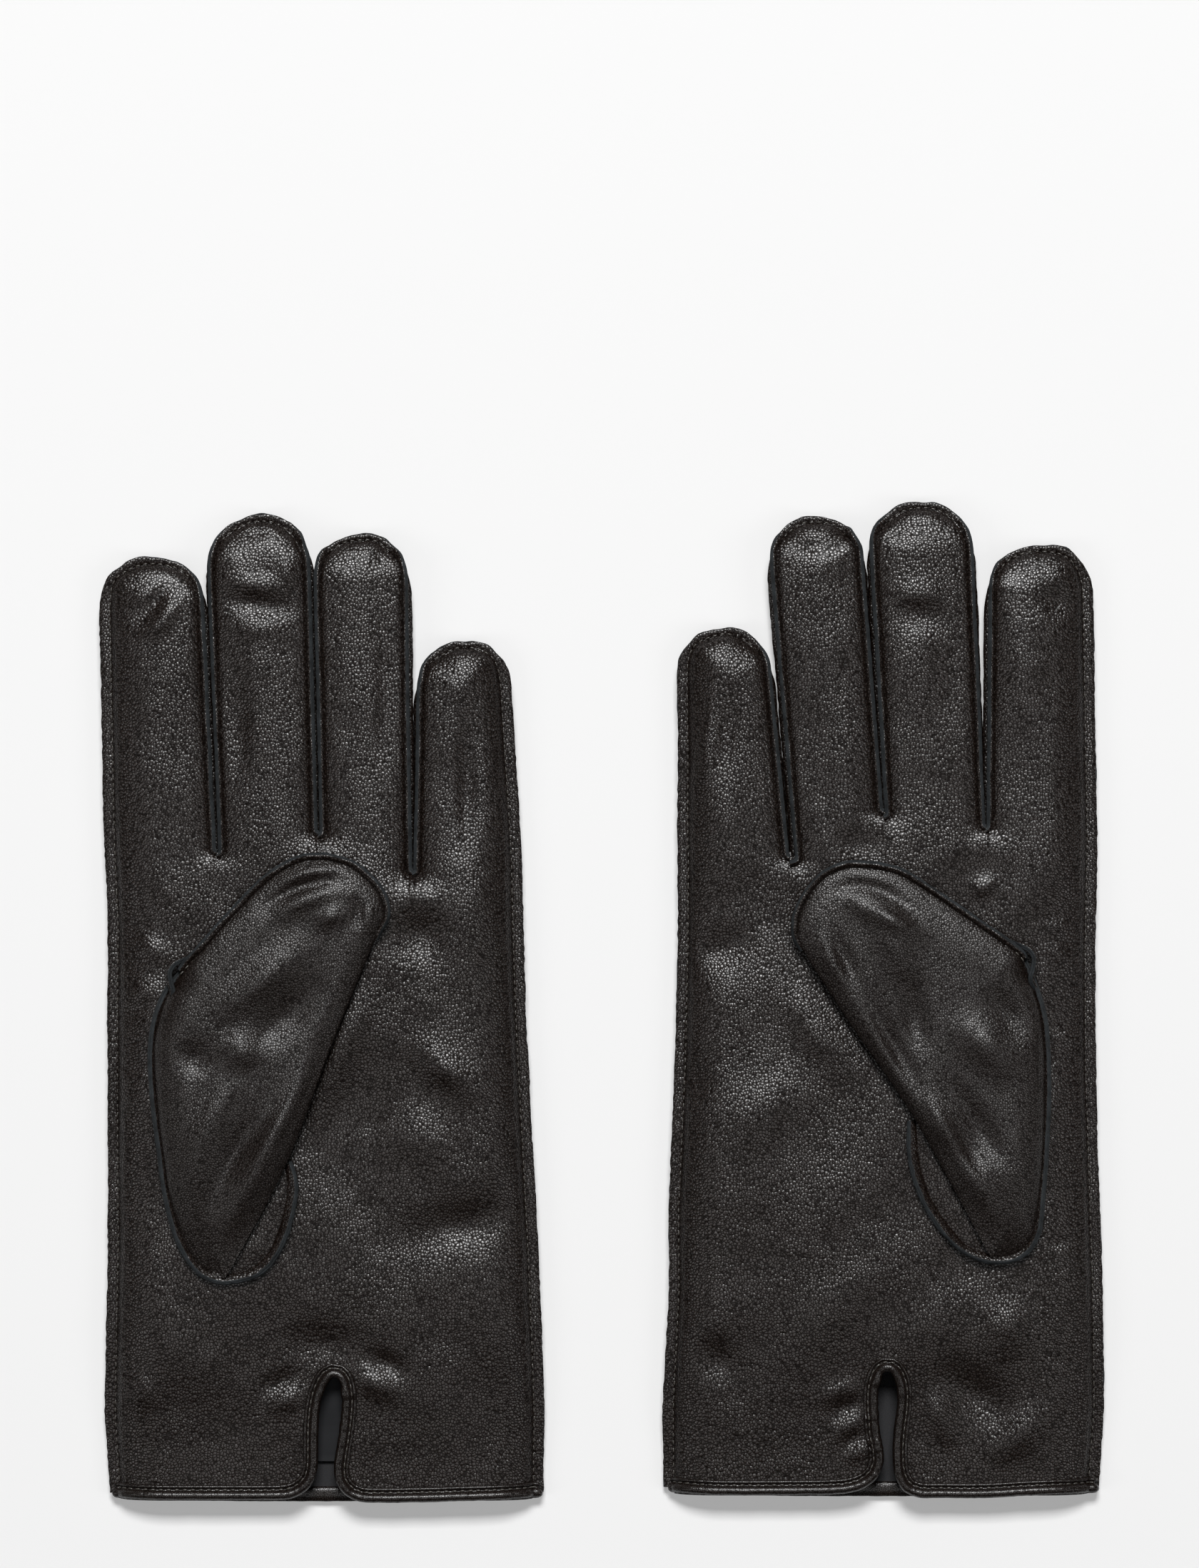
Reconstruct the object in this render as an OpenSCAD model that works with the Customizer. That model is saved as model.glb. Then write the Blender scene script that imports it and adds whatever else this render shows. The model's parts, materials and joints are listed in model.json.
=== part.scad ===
// Pair of lined leather dress gloves, lying palm up side by side on a flat surface.
// Each glove is its own frame: x across the palm (index finger on -x), y from the cuff edge
// to the fingertips, z up from the back of the glove.  The right glove is the mirror of that frame.

/* [Leather and lining] */
// Thickness of the outer leather
leather_t = 0.9; // [0.6:0.1:1.2]
// Thickness of the knitted lining
lining_t = 0.8; // [0.5:0.1:1.2]

/* [Hand] */
// Height of the stuffed glove as it lies
glove_h = 11; // [9:0.5:16]
// Width at the cuff edge
cuff_w = 110; // [92:1:132]
// Width over the knuckles
palm_w = 105.4; // [88:0.2:126]
// How far the wrist bows out past the cuff corners
wrist_bow = 0.8; // [0:0.1:2]
// How far the knuckles sit to the index side of the cuff centre, left and right glove
knuckle_shift = [3.2, 1];
// Distance between two neighbouring fingers at their roots
finger_gap = 0.8; // [0.6:0.1:1.5]
// Depth of the notch below the lower finger root of each pair
crotch_depth = 2; // [1:0.5:4]

/* [Fingers, index to little] */
// Share of the knuckle width that each finger takes
finger_share = [27.9, 24.9, 22.9, 27.3];
// Width near the fingertip, less the width at the root
tip_flare = [-1.5, 0.9, 0.5, -3.7];
// Distance from the cuff edge to each finger's root crease, left and right glove
root_y = [[165.4, 170.2, 170.2, 160.6], [170.2, 174, 174, 162.6]];
// Length of each finger from its root crease, left and right glove
finger_len = [[73.1, 78.7, 74.1, 56.4], [70.2, 77.1, 73.6, 56.6]];
// Lean of each finger, positive towards the index side, left and right glove
finger_lean = [[2, 1.9, 1.1, 1.3], [-0.2, -2.9, -4.6, -3.2]];
// Play at each root crease
crease_gap = 0.4; // [0.2:0.1:0.8]

/* [Thumb] */
// Height of the folded thumb above the palm
thumb_h = 9; // [7.5:0.5:12]
// Radius of the thumb tip
thumb_tip_r = 15.2; // [12:0.1:18]
// Centre of the thumb tip, left and right glove
thumb_tip = [[-1.5, 147], [7, 143.6]];
// Upper end of the thumb crease, left and right glove
crease_top = [[-36, 134], [-34.8, 136]];
// Lower end of the thumb crease, left and right glove
crease_low = [[-9.2, 86], [-7, 95]];
// Centre of the thumb hole's oval
hole_at = [-27, 95];
// Half width and half length of the oval seam round the thumb hole
hole_half = [17, 40.5];
// Tilt of the oval
hole_tilt = 7; // [0:1:15]
// Leather between the thumb seam and the hole cut in the palm
hole_rim = 2.4; // [2:0.1:4]
// Play under the free part of the thumb
thumb_lift = 0.35; // [0.3:0.05:0.8]

/* [Cuff] */
// Width of the leather binding
binding_w = 2.9; // [2:0.1:4]
// Thickness of the folded binding
binding_t = 1.6; // [1.2:0.1:2]
// How far the binding stands above the palm leather
binding_rise = 0.3; // [0:0.1:0.6]
// Height of the keyhole vent
vent_len = 29; // [18:1:40]
// Radius of the eye of the vent
vent_r = 3; // [2:0.1:4]
// Width of the vent's slot at the cuff edge
vent_w = 3.8; // [2:0.1:6]
// Stitch length and thread diameter along the binding
stitch = [2.6, 0.45];
// Distance from stitch to stitch
stitch_pitch = 4; // [3.5:0.5:8]
// Woven label inside the left cuff: width, length, thickness
label_size = [30, 26, 0.3];

/* [Placing] */
// Distance from cuff centre to cuff centre
pair_spacing = 140.9; // [130:0.1:170]
// How far the right glove lies above the left one
right_offset = 1.3; // [-5:0.1:5]

/* [Hidden] */
node = "all";
SIDE = ["left", "right"];
FINGER = ["index", "middle", "ring", "little"];
SHARED = ["palm", "back", "lining", "cuff_binding", "cuff_stitches", "thumb_quirk",
          "thumb_base", "thumb", "thumb_lining"];
PER_FINGER = ["palm_side", "back_side", "lining"];
// Fingers with a fourchette on their index side and on their little side
FOURCHETTE_IN = [1, 2, 3];
FOURCHETTE_OUT = [0, 1, 2];
NODES = [
    each [for (s = SIDE) each [for (n = SHARED) str(s, "_", n)]],
    each [for (s = SIDE) each [for (f = FINGER) each [for (n = PER_FINGER) str(s, "_", f, "_", n)]]],
    each [for (s = SIDE) each [for (i = FOURCHETTE_IN) str(s, "_", FINGER[i], "_fourchette_in")]],
    each [for (s = SIDE) each [for (i = FOURCHETTE_OUT) str(s, "_", FINGER[i], "_fourchette_out")]],
    "left_label"
];

leather = [0.09, 0.09, 0.1];
knit = [0.16, 0.16, 0.17];
satin = [0.05, 0.05, 0.06];
thread = [0.12, 0.12, 0.13];

past = 20;                      // how far a cutting shape reaches past an open end
seam_z = glove_h / 2;           // height of the seams along the outer edges
wrist_y = 22;                   // height of the widest point of the wrist
thumb_top = glove_h + thumb_h;
thumb_floor = glove_h + thumb_lift;
cavity_in = leather_t + lining_t;
total_share = finger_share[0] + finger_share[1] + finger_share[2] + finger_share[3];
clear_w = palm_w - 3 * finger_gap;
arc_step = 10;

// Width of finger i at its root
function root_w(i) = clear_w * finger_share[i] / total_share;
// Sum of the widths of the fingers before finger i, with their gaps
function width_before(i) = i == 0 ? 0 : width_before(i - 1) + root_w(i - 1) + finger_gap;
// Width of finger i near its tip
function tip_w(i) = root_w(i) + tip_flare[i];
// Centre of finger i's root, glove s
function root_at(s, i) = [-palm_w / 2 - knuckle_shift[s] + width_before(i) + root_w(i) / 2, root_y[s][i]];
function turn(p, a) = [p[0] * cos(a) - p[1] * sin(a), p[0] * sin(a) + p[1] * cos(a)];
function from_root(s, i, p) = root_at(s, i) + turn(p, finger_lean[s][i]);
function arc(c, r, from, to) = [for (k = [0 : abs(to - from) / arc_step])
    c + r * [cos(from + sign(to - from) * k * arc_step), sin(from + sign(to - from) * k * arc_step)]];

// Outline of finger i seen from above, with its root crease on y = 0, drawn in by inset.
// side is the extra reach of the two long sides, [index side, little side]; root is the reach past the crease,
// along the same slanted sides.
function finger_outline(s, i, inset = 0, side = [0, 0], root = 0) =
    let (shoulder = finger_len[s][i] - tip_w(i) / 2, r = tip_w(i) / 2 - inset,
         wr = r + (root_w(i) - tip_w(i)) / 2 * (shoulder + root) / shoulder)
    concat(
        [[wr + side[1], -root], [r + side[1], shoulder]],
        arc([0, shoulder], r, 0, 180),
        [[-r - side[0], shoulder], [-wr - side[0], -root]]);

// Point on the line from one point to another, carried on past the second one
function past_end(from, to, reach) = to + reach * (to - from) / norm(to - from);
// Widest point of the wrist and outer corner of the knuckles, drawn in by inset; side is -1 at the index finger
function wrist_at(side, inset) = [side * (cuff_w / 2 + wrist_bow - inset), wrist_y];
function corner_at(s, side, inset) = let (i = side < 0 ? 0 : 3)
    from_root(s, i, [side * (root_w(i) / 2 - inset), -crease_gap]);
// Top edge of the palm: the root crease of each finger and the notches between the fingers
function knuckle_edge(s, inset = 0, reach = 0) = [for (i = [0 : 3]) each concat(
    [i == 0 ? past_end(wrist_at(-1, inset), corner_at(s, -1, inset), reach)
            : from_root(s, i, [-root_w(i) / 2, -crease_gap + reach])],
    [i == 3 ? past_end(wrist_at(1, inset), corner_at(s, 1, inset), reach)
            : from_root(s, i, [root_w(i) / 2, -crease_gap + reach])],
    i == 3 ? [] : [
        [from_root(s, i, [root_w(i) / 2, 0])[0], min(root_y[s][i], root_y[s][i + 1]) - crotch_depth + reach],
        [from_root(s, i + 1, [-root_w(i + 1) / 2, 0])[0],
         min(root_y[s][i], root_y[s][i + 1]) - crotch_depth + reach]])];

// Outline of the palm from height y0 to the knuckles, drawn in by inset along both sides
function palm_outline(s, y0, inset = 0, reach = 0) = concat(
    [[cuff_w / 2 - inset, y0], [-cuff_w / 2 + inset, y0], wrist_at(-1, inset)],
    knuckle_edge(s, inset, reach),
    [wrist_at(1, inset)]);

// Unit vectors along the thumb crease and across it towards the thumb tip
function crease_u(s) = (crease_low[s] - crease_top[s]) / norm(crease_low[s] - crease_top[s]);
function crease_n(s) = [-crease_u(s)[1], crease_u(s)[0]];
// Part of the thumb-hole oval that lies behind the crease, drawn in by inset, reaching past the crease
function hole_outline(s, inset = 0, reach = 0) = [for (a = [0 : arc_step / 2 : 355])
    let (p = hole_at + turn([(hole_half[0] - inset) * cos(a), (hole_half[1] - inset) * sin(a)], hole_tilt))
    if ((p - crease_top[s]) * crease_n(s) < reach - crease_gap) p];
// Free part of the thumb, drawn in by inset, its two sides reaching on past the crease
function thumb_outline(s, inset = 0, reach = 0) =
    let (tip = arc(thumb_tip[s], thumb_tip_r - inset, -20, 130),
         low = crease_low[s] - inset * crease_u(s), top = crease_top[s] + inset * crease_u(s))
    concat([past_end(tip[0], low, reach)], tip, [past_end(tip[len(tip) - 1], top, reach)]);

// Keyhole: an eye of radius r centred at height y, over a slot of width w that starts at y0
function keyhole(r, y, w, y0) = concat([[w / 2, y0]], arc([0, y], r, -30, 210), [[-w / 2, y0]]);
eye_y = vent_len - vent_r;
function vent_cut(y0) = keyhole(vent_r, eye_y, vent_w, y0);
function vent_edge(y0) = keyhole(vent_r + binding_w, eye_y, vent_w + 2 * binding_w, y0);

module slab(outline, z0, z1) {
    translate([0, 0, z0]) linear_extrude(z1 - z0) polygon(outline);
}

// Upper half of the palm section: one panel with side walls down to the seam, a thumb hole and a vent
module palm(s) color(leather) difference() {
    slab(palm_outline(s, binding_w), seam_z, glove_h);
    slab(palm_outline(s, -past, leather_t, past), seam_z - 1, glove_h - leather_t);
    slab(hole_outline(s, hole_rim), seam_z, glove_h + 1);
    slab(vent_edge(-past), seam_z, glove_h + 1);
}

// Lower half of the palm section, which is the back of the glove
module back(s) color(leather) difference() {
    slab(palm_outline(s, binding_w), 0, seam_z);
    slab(palm_outline(s, -past, leather_t, past), leather_t, seam_z + 1);
}

// Knitted lining of the palm section, open at the cuff, at the fingers and at the thumb hole
module lining(s) color(knit) difference() {
    slab(palm_outline(s, binding_w, leather_t), leather_t, glove_h - leather_t);
    slab(palm_outline(s, -past, cavity_in, past), cavity_in, glove_h - cavity_in);
    slab(hole_outline(s, hole_rim), seam_z, glove_h);
    slab(vent_edge(-past), seam_z, glove_h);
}

// Folded leather strip round the cuff edge and up round the vent
module cuff_binding(s) color(leather) {
    top = glove_h + binding_rise;
    difference() {
        translate([-cuff_w / 2, 0, 0]) cube([cuff_w, binding_w, top]);
        translate([-cuff_w / 2 + binding_t, -1, binding_t])
            cube([cuff_w - 2 * binding_t, binding_w + 2, top - 2 * binding_t]);
        slab(vent_edge(-1), seam_z, top + 1);
    }
    difference() {
        slab(vent_edge(0), top - binding_t, top);
        slab(vent_cut(-1), top - 2 * binding_t, top + 1);
    }
}

// Stitches that hold the binding, along the palm side of the cuff and up both sides of the vent
module cuff_stitches(s) color(thread) {
    free_half = cuff_w / 2 - vent_w / 2 - 2 * binding_w;
    n = floor(free_half / stitch_pitch);
    m = floor((eye_y - 2 * binding_w) / stitch_pitch);
    z = glove_h + binding_rise;
    for (side = [-1, 1], k = [0 : n - 1])
        translate([side * (cuff_w / 2 - binding_w - k * stitch_pitch), binding_w - stitch[1], z + stitch[1] / 2])
            cube([stitch[0], stitch[1], stitch[1]], center = true);
    for (side = [-1, 1], k = [0 : m - 1])
        translate([side * (vent_w + binding_w) / 2, 2 * binding_w + k * stitch_pitch, z + stitch[1] / 2])
            cube([stitch[1], stitch[0], stitch[1]], center = true);
}

// Small gusset let in at the top corner of the thumb hole
module thumb_quirk(s) color(leather) {
    corner = crease_top[s] - crease_gap * crease_n(s);
    size = [8, 3.5];
    slab([corner, corner - size[0] / 2 * crease_u(s) - size[1] * crease_n(s), corner - size[0] * crease_u(s),
          corner - size[0] * 0.7 * crease_u(s) - 0.1 * crease_n(s)], glove_h, glove_h + leather_t);
}

// Hood of thumb leather over the hole, which stays sewn to the palm
module thumb_base(s) color(leather) difference() {
    slab(hole_outline(s), glove_h, thumb_top);
    slab(hole_outline(s, leather_t, 4), glove_h - 1, thumb_top - leather_t);
}

// Free part of the thumb: a flat tube, open at the crease
module thumb(s) color(leather) difference() {
    slab(thumb_outline(s), thumb_floor, thumb_top);
    slab(thumb_outline(s, leather_t, past), thumb_floor + leather_t, thumb_top - leather_t);
}

module thumb_lining(s) color(knit) difference() {
    slab(thumb_outline(s, leather_t), thumb_floor + leather_t, thumb_top - leather_t);
    slab(thumb_outline(s, cavity_in, past), thumb_floor + cavity_in, thumb_top - cavity_in);
}

// Reach of a cutting outline past the sides of finger i that have a fourchette in place of a wall
function open_sides(i) = [i == 0 ? 0 : past, i == 3 ? 0 : past];

module at_root(s, i) translate([each root_at(s, i), 0]) rotate(finger_lean[s][i]) children();

// Upper leather of finger i, with a wall down to the seam round the tip and along an outer side
module finger_palm_side(s, i) color(leather) at_root(s, i) difference() {
    slab(finger_outline(s, i), seam_z, glove_h);
    slab(finger_outline(s, i, leather_t, open_sides(i), past), seam_z - 1, glove_h - leather_t);
}

// Lower leather of finger i, the same with its wall up to the seam
module finger_back_side(s, i) color(leather) at_root(s, i) difference() {
    slab(finger_outline(s, i), 0, seam_z);
    slab(finger_outline(s, i, leather_t, open_sides(i), past), leather_t, seam_z + 1);
}

// Knitted sock inside finger i
module finger_lining(s, i) color(knit) at_root(s, i) difference() {
    slab(finger_outline(s, i, leather_t), leather_t, glove_h - leather_t);
    slab(finger_outline(s, i, cavity_in, [0, 0], past), cavity_in, glove_h - cavity_in);
}

// Side strip of finger i between its two leathers; side is -1 towards the index finger, 1 towards the little one
module fourchette(s, i, side) color(leather) at_root(s, i) {
    shoulder = finger_len[s][i] - tip_w(i) / 2;
    slab([[side * root_w(i) / 2, 0], [side * tip_w(i) / 2, shoulder],
          [side * (tip_w(i) / 2 - leather_t), shoulder], [side * (root_w(i) / 2 - leather_t), 0]],
         leather_t, glove_h - leather_t);
}

// Woven label on the back lining, behind the vent
module label() color(satin)
    translate([-label_size[0] / 2, eye_y - label_size[1] * 0.75, cavity_in]) cube(label_size);

// Puts glove s in its place: the left one at -x, the right one mirrored at +x
overall_len = max(finger_len[0][1] + root_y[0][1], finger_len[1][1] + root_y[1][1] + right_offset);
module place(s) {
    translate([(s == 0 ? -1 : 1) * pair_spacing / 2, -overall_len / 2 + (s == 0 ? 0 : right_offset), 0])
        mirror([s, 0, 0]) children();
}

function shown(name) = node == "all" || node == name;
for (s = [0, 1]) {
    if (shown(str(SIDE[s], "_palm"))) place(s) palm(s);
    if (shown(str(SIDE[s], "_back"))) place(s) back(s);
    if (shown(str(SIDE[s], "_lining"))) place(s) lining(s);
    if (shown(str(SIDE[s], "_cuff_binding"))) place(s) cuff_binding(s);
    if (shown(str(SIDE[s], "_cuff_stitches"))) place(s) cuff_stitches(s);
    if (shown(str(SIDE[s], "_thumb_quirk"))) place(s) thumb_quirk(s);
    if (shown(str(SIDE[s], "_thumb_base"))) place(s) thumb_base(s);
    if (shown(str(SIDE[s], "_thumb"))) place(s) thumb(s);
    if (shown(str(SIDE[s], "_thumb_lining"))) place(s) thumb_lining(s);
    for (i = [0 : 3]) {
        if (shown(str(SIDE[s], "_", FINGER[i], "_palm_side"))) place(s) finger_palm_side(s, i);
        if (shown(str(SIDE[s], "_", FINGER[i], "_back_side"))) place(s) finger_back_side(s, i);
        if (shown(str(SIDE[s], "_", FINGER[i], "_lining"))) place(s) finger_lining(s, i);
    }
    for (i = FOURCHETTE_IN) if (shown(str(SIDE[s], "_", FINGER[i], "_fourchette_in"))) place(s) fourchette(s, i, -1);
    for (i = FOURCHETTE_OUT) if (shown(str(SIDE[s], "_", FINGER[i], "_fourchette_out"))) place(s) fourchette(s, i, 1);
}
if (shown("left_label")) place(0) label();
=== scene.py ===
"""A pair of lined leather dress gloves, lying palm up: soft skins, outseams, stitches, thumbs and cuffs.

Shapes are worked out in each glove's own frame, in millimetres: x across the palm with the index
finger on -x, y from the cuff to the fingertips, z up from the back of the glove.  The right glove
is the mirror of that frame.
"""
import json
import math

import bmesh
import bpy
import numpy as np
from bpy.props import FloatProperty, FloatVectorProperty, PointerProperty
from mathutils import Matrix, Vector


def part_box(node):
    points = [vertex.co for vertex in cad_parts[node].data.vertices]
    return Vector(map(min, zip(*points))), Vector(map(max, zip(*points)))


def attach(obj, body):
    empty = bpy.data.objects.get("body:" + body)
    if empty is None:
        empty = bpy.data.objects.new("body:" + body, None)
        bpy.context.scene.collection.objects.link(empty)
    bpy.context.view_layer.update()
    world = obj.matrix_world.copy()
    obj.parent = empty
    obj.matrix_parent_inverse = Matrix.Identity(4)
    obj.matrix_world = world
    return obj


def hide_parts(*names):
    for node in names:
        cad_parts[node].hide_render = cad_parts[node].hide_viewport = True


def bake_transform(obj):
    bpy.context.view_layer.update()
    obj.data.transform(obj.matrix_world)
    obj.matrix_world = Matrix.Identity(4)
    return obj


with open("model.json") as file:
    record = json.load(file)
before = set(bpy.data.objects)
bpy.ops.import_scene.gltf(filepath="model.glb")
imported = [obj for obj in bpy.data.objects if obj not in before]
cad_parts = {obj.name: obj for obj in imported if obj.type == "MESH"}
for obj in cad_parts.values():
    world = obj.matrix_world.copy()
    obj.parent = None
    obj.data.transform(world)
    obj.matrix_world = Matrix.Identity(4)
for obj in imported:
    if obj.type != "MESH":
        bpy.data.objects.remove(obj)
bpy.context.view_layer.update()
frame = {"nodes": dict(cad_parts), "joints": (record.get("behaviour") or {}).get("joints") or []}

bl_info = {
    "name": "Leather Dress Gloves",
    "version": (1, 0, 0),
    "blender": (4, 5, 0),
    "location": "View3D > Sidebar > Gloves",
    "description": "Builds a pair of lined outseam leather gloves round their frame",
    "category": "Object",
}

MM = 0.001
SIDES = ("left", "right")
FINGERS = ("index", "middle", "ring", "little")
INDEX, MIDDLE, RING, LITTLE = range(4)


# ---------------------------------------------------------------- colours and numbers

def linear(hex_colour):
    """An sRGB hex colour as linear red, green, blue."""
    values = [int(hex_colour[i:i + 2], 16) / 255 for i in (0, 2, 4)]
    return [v / 12.92 if v <= 0.04045 else ((v + 0.055) / 1.055) ** 2.4 for v in values]


# Random waves and patches are read from tables of this size, starting well inside them
WAVE_KNOTS, WAVE_START = 4096, 37
PATCH_CELLS, PATCH_START = 64, 20


def smooth(x, low, high):
    """Smooth step from 0 at low to 1 at high."""
    t = np.clip((np.asarray(x, float) - low) / (high - low), 0, 1)
    return t * t * (3 - 2 * t)


def roll_off(t, circle):
    """Falls from 1 on an edge to 0 at t = 1, partly as a quarter circle and otherwise as a parabola."""
    return circle * (1 - np.sqrt(1 - (1 - t) ** 2 * 0.9999)) + (1 - circle) * (1 - t) ** 2


def wave(s, length, seed):
    """Smooth random wave along s, about -1 to 1, with bumps a given length apart."""
    knots = np.random.default_rng(seed).uniform(-1, 1, WAVE_KNOTS)
    t = np.asarray(s, float) / length + WAVE_START
    i = np.floor(t).astype(int)
    f = t - i
    f = f * f * (3 - 2 * f)
    return knots[i % WAVE_KNOTS] * (1 - f) + knots[(i + 1) % WAVE_KNOTS] * f


def patch(x, y, size, seed):
    """Smooth random field over x and y, about -1 to 1, with blobs of a given size."""
    n = PATCH_CELLS
    grid = np.random.default_rng(seed).uniform(-1, 1, (n, n))
    u, v = np.asarray(x, float) / size + PATCH_START, np.asarray(y, float) / size + PATCH_START
    i, j = np.floor(u).astype(int), np.floor(v).astype(int)
    f, g = u - i, v - j
    f, g = f * f * (3 - 2 * f), g * g * (3 - 2 * g)
    a, b = grid[i % n, j % n], grid[(i + 1) % n, j % n]
    c, d = grid[i % n, (j + 1) % n], grid[(i + 1) % n, (j + 1) % n]
    return (a * (1 - f) + b * f) * (1 - g) + (c * (1 - f) + d * f) * g


def resample(points, step=None, count=None):
    """A polyline of any dimension, cut again into equal steps."""
    points = np.asarray(points, float)
    lengths = np.concatenate([[0], np.cumsum(np.linalg.norm(np.diff(points, axis=0), axis=1))])
    count = count or max(2, int(round(lengths[-1] / step)) + 1)
    along = np.linspace(0, lengths[-1], count)
    return np.stack([np.interp(along, lengths, points[:, k]) for k in range(points.shape[1])], 1)


def curve_through(points, step):
    """A smooth curve through a few chosen points, in equal steps."""
    p = np.asarray(points, float)
    p = np.vstack([2 * p[0] - p[1], p, 2 * p[-1] - p[-2]])
    t = np.linspace(0, 1, 16, endpoint=False)[:, None]
    out = []
    for a, b, c, d in zip(p[:-3], p[1:-2], p[2:-1], p[3:]):
        out.append(0.5 * (2 * b + (c - a) * t + (2 * a - 5 * b + 4 * c - d) * t ** 2
                          + (3 * b - a - 3 * c + d) * t ** 3))
    out.append(p[-2:-1])
    return resample(np.vstack(out), step=step)


# ---------------------------------------------------------------- settings

def millimetres(name, description, value):
    """A length property given in millimetres."""
    return FloatProperty(name=name, description=description, default=value * MM, min=0.05 * MM,
                         unit="LENGTH", precision=5)


def colour(name, description, hex_colour):
    """A colour property given as an sRGB hex value."""
    return FloatVectorProperty(name=name, description=description, subtype="COLOR", size=3,
                               min=0, max=1, default=linear(hex_colour))


class GloveSizes(bpy.types.PropertyGroup):
    """Sizes of the leather work."""
    stitch_pitch: millimetres("Stitch pitch", "Distance from stitch to stitch", 1.9)
    stitch_length: millimetres("Stitch length", "Length of one stitch", 1.25)
    thread: millimetres("Thread", "Diameter of the sewing thread", 0.42)
    binding: millimetres("Binding", "Width of the cuff binding", 3.9)
    grain: millimetres("Grain", "Distance between two pebbles of the leather grain", 0.95)
    mesh: millimetres("Mesh", "Length of the mesh's cells along the glove", 0.75)


class GloveColours(bpy.types.PropertyGroup):
    """Colours of the finishes."""
    leather: colour("Leather", "Dyed and finished grain side", "100a07")
    raw_edge: colour("Raw edge", "Cut edge and flesh side of the leather", "212426")
    lining: colour("Lining", "Brushed knit", "17171a")
    # The thread is painted lighter than its own near black: painted highlight on the stitches
    thread: colour("Thread", "Sewing thread", "3c3935")
    label: colour("Label", "Woven satin label", "0f1013")
    floor: colour("Floor", "Paper sweep under the gloves", "f0f0f0")


def size(name):
    """One of the scene's glove sizes, in millimetres."""
    return getattr(bpy.context.scene.glove_sizes, name) / MM


def tint(name, factor=1.0):
    """One of the scene's glove colours, lighter or darker by a factor, as RGBA."""
    return (*(min(c * factor, 1.0) for c in getattr(bpy.context.scene.glove_colours, name)), 1.0)


# ---------------------------------------------------------------- the gloves' frames

TOP = 10.2          # height of the stuffed palm
CUFF_TOP = 7.6      # height of the palm side at the empty cuff
TIP_DROP = 1.3      # how much lower the fingertips are
JOIN_Y = 154.0      # where the finger pieces meet the palm piece
CROTCH_DROP = 1.0   # how far each finger crotch lies below the lower finger root
CROTCH_BOW = 1.4    # how far the seam dips below it
TIP_POWER = 2.2     # roundness of the fingertips: 2 is a circle, more is squarer
TIP_UNEVEN = 0.35   # how far the hand-cut fingertips stray from that
CREASE_RUN = 13.0   # a length along a finger past its root
COLUMNS = 36        # columns of mesh across each finger
SKIN = 0.72         # leather left by the grain's compression where two layers are sewn together
LINING_GAP = 1.0    # from the outside of the leather to the outside of the lining
LINING_INSET = 1.3  # how far the lining's sides lie inside the seams
LINING_WALL = 0.6   # thickness of the knit where it shows
CUFF_BOW = 0.8      # how far the sides bow out just above the cuff
CUFF_FADE = 45.0    # height up the glove over which its empty cuff fills out
VENT_ZONE = 40.0    # height up the glove that holds the whole vent
PATH_STEP = 0.6     # mesh step along seams
FOLD_DEPTH = 2.8    # how strongly the folds below are pressed into the leather
GROOVE_DEPTH = 0.4  # the stitches pull the leather down beside each seam
GROOVE_WIDTH = 0.9
BACK_FLAT = 0.25    # least height of the back leather over the floor

# Heights of the seams over the floor, how far in from them the leather is rounded, and their raw edges
SEAMS = {
    "outer": {"top": 4.9, "back": 3.7, "reach": 11.5, "inset": 2.6, "base": 4.3, "tilt": -3, "width": 2.7},
    "gap": {"top": 7.9, "back": 2.6, "reach": 11.0, "inset": 1.15, "base": 7.5, "tilt": 56, "width": 1.6},
    "tip": {"top": 5.6, "back": 4.3, "reach": 11.5, "inset": 1.8, "base": 4.95, "tilt": 12, "width": 1.9},
    "crotch": {"top": 8.6, "back": 1.6, "reach": 5.0, "inset": 1.15, "base": 8.2, "tilt": 56, "width": 1.2},
}

# How far the outer edges stray from straight, at heights up the glove: (y, index side, little side)
SIDE_WAVE = {
    "left": [(0, 0.2, -0.4), (22, -0.2, -0.9), (37, 0.1, -0.7), (65, 0.7, -0.6), (94, 0.5, -0.8),
             (123, 0.5, -1.0), (145, 0.7, -0.7), (166, -0.2, -0.2), (260, 0, 0)],
    "right": [(0, 0.9, 0.6), (22, 0.2, 0.0), (51, 0.2, -0.6), (72, 0.6, 0.1), (109, 1.2, -0.5),
              (138, 0.9, -0.3), (166, 0, 0.4), (188, 0, 0), (260, 0, 0)],
}


class Finger:
    """A finger's size and place, read from its frame nodes."""

    def __init__(self, glove, name):
        self.name, self.glove = name, glove
        joint = next(j for j in frame["joints"] if j["name"] == f"{glove.side}_{name}_curl")
        self.root = glove.local(joint["pos_m"])[:2]
        across = np.array([glove.flip * joint["axis"][0], joint["axis"][1]])
        self.across = across * np.sign(across[0])
        self.along = np.array([-self.across[1], self.across[0]])
        node = frame["nodes"][f"{glove.side}_{name}_palm_side"]
        points = np.array([glove.local(v.co)[:2] for v in node.data.vertices]) - self.root
        u, v = np.abs(points @ self.across), points @ self.along
        self.root_half = u[v < 0.5].max()
        self.tip_half = u[v > 5].max()
        self.length = v.max()
        self.shoulder = self.length - self.tip_half

    def at(self, u, v):
        """Glove point u across and v along the finger."""
        return self.root + np.multiply.outer(u, self.across) + np.multiply.outer(v, self.along)

    def half(self, v):
        """Half the finger's width v along it, up to the shoulder."""
        return self.root_half + (self.tip_half - self.root_half) * v / self.shoulder


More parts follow.
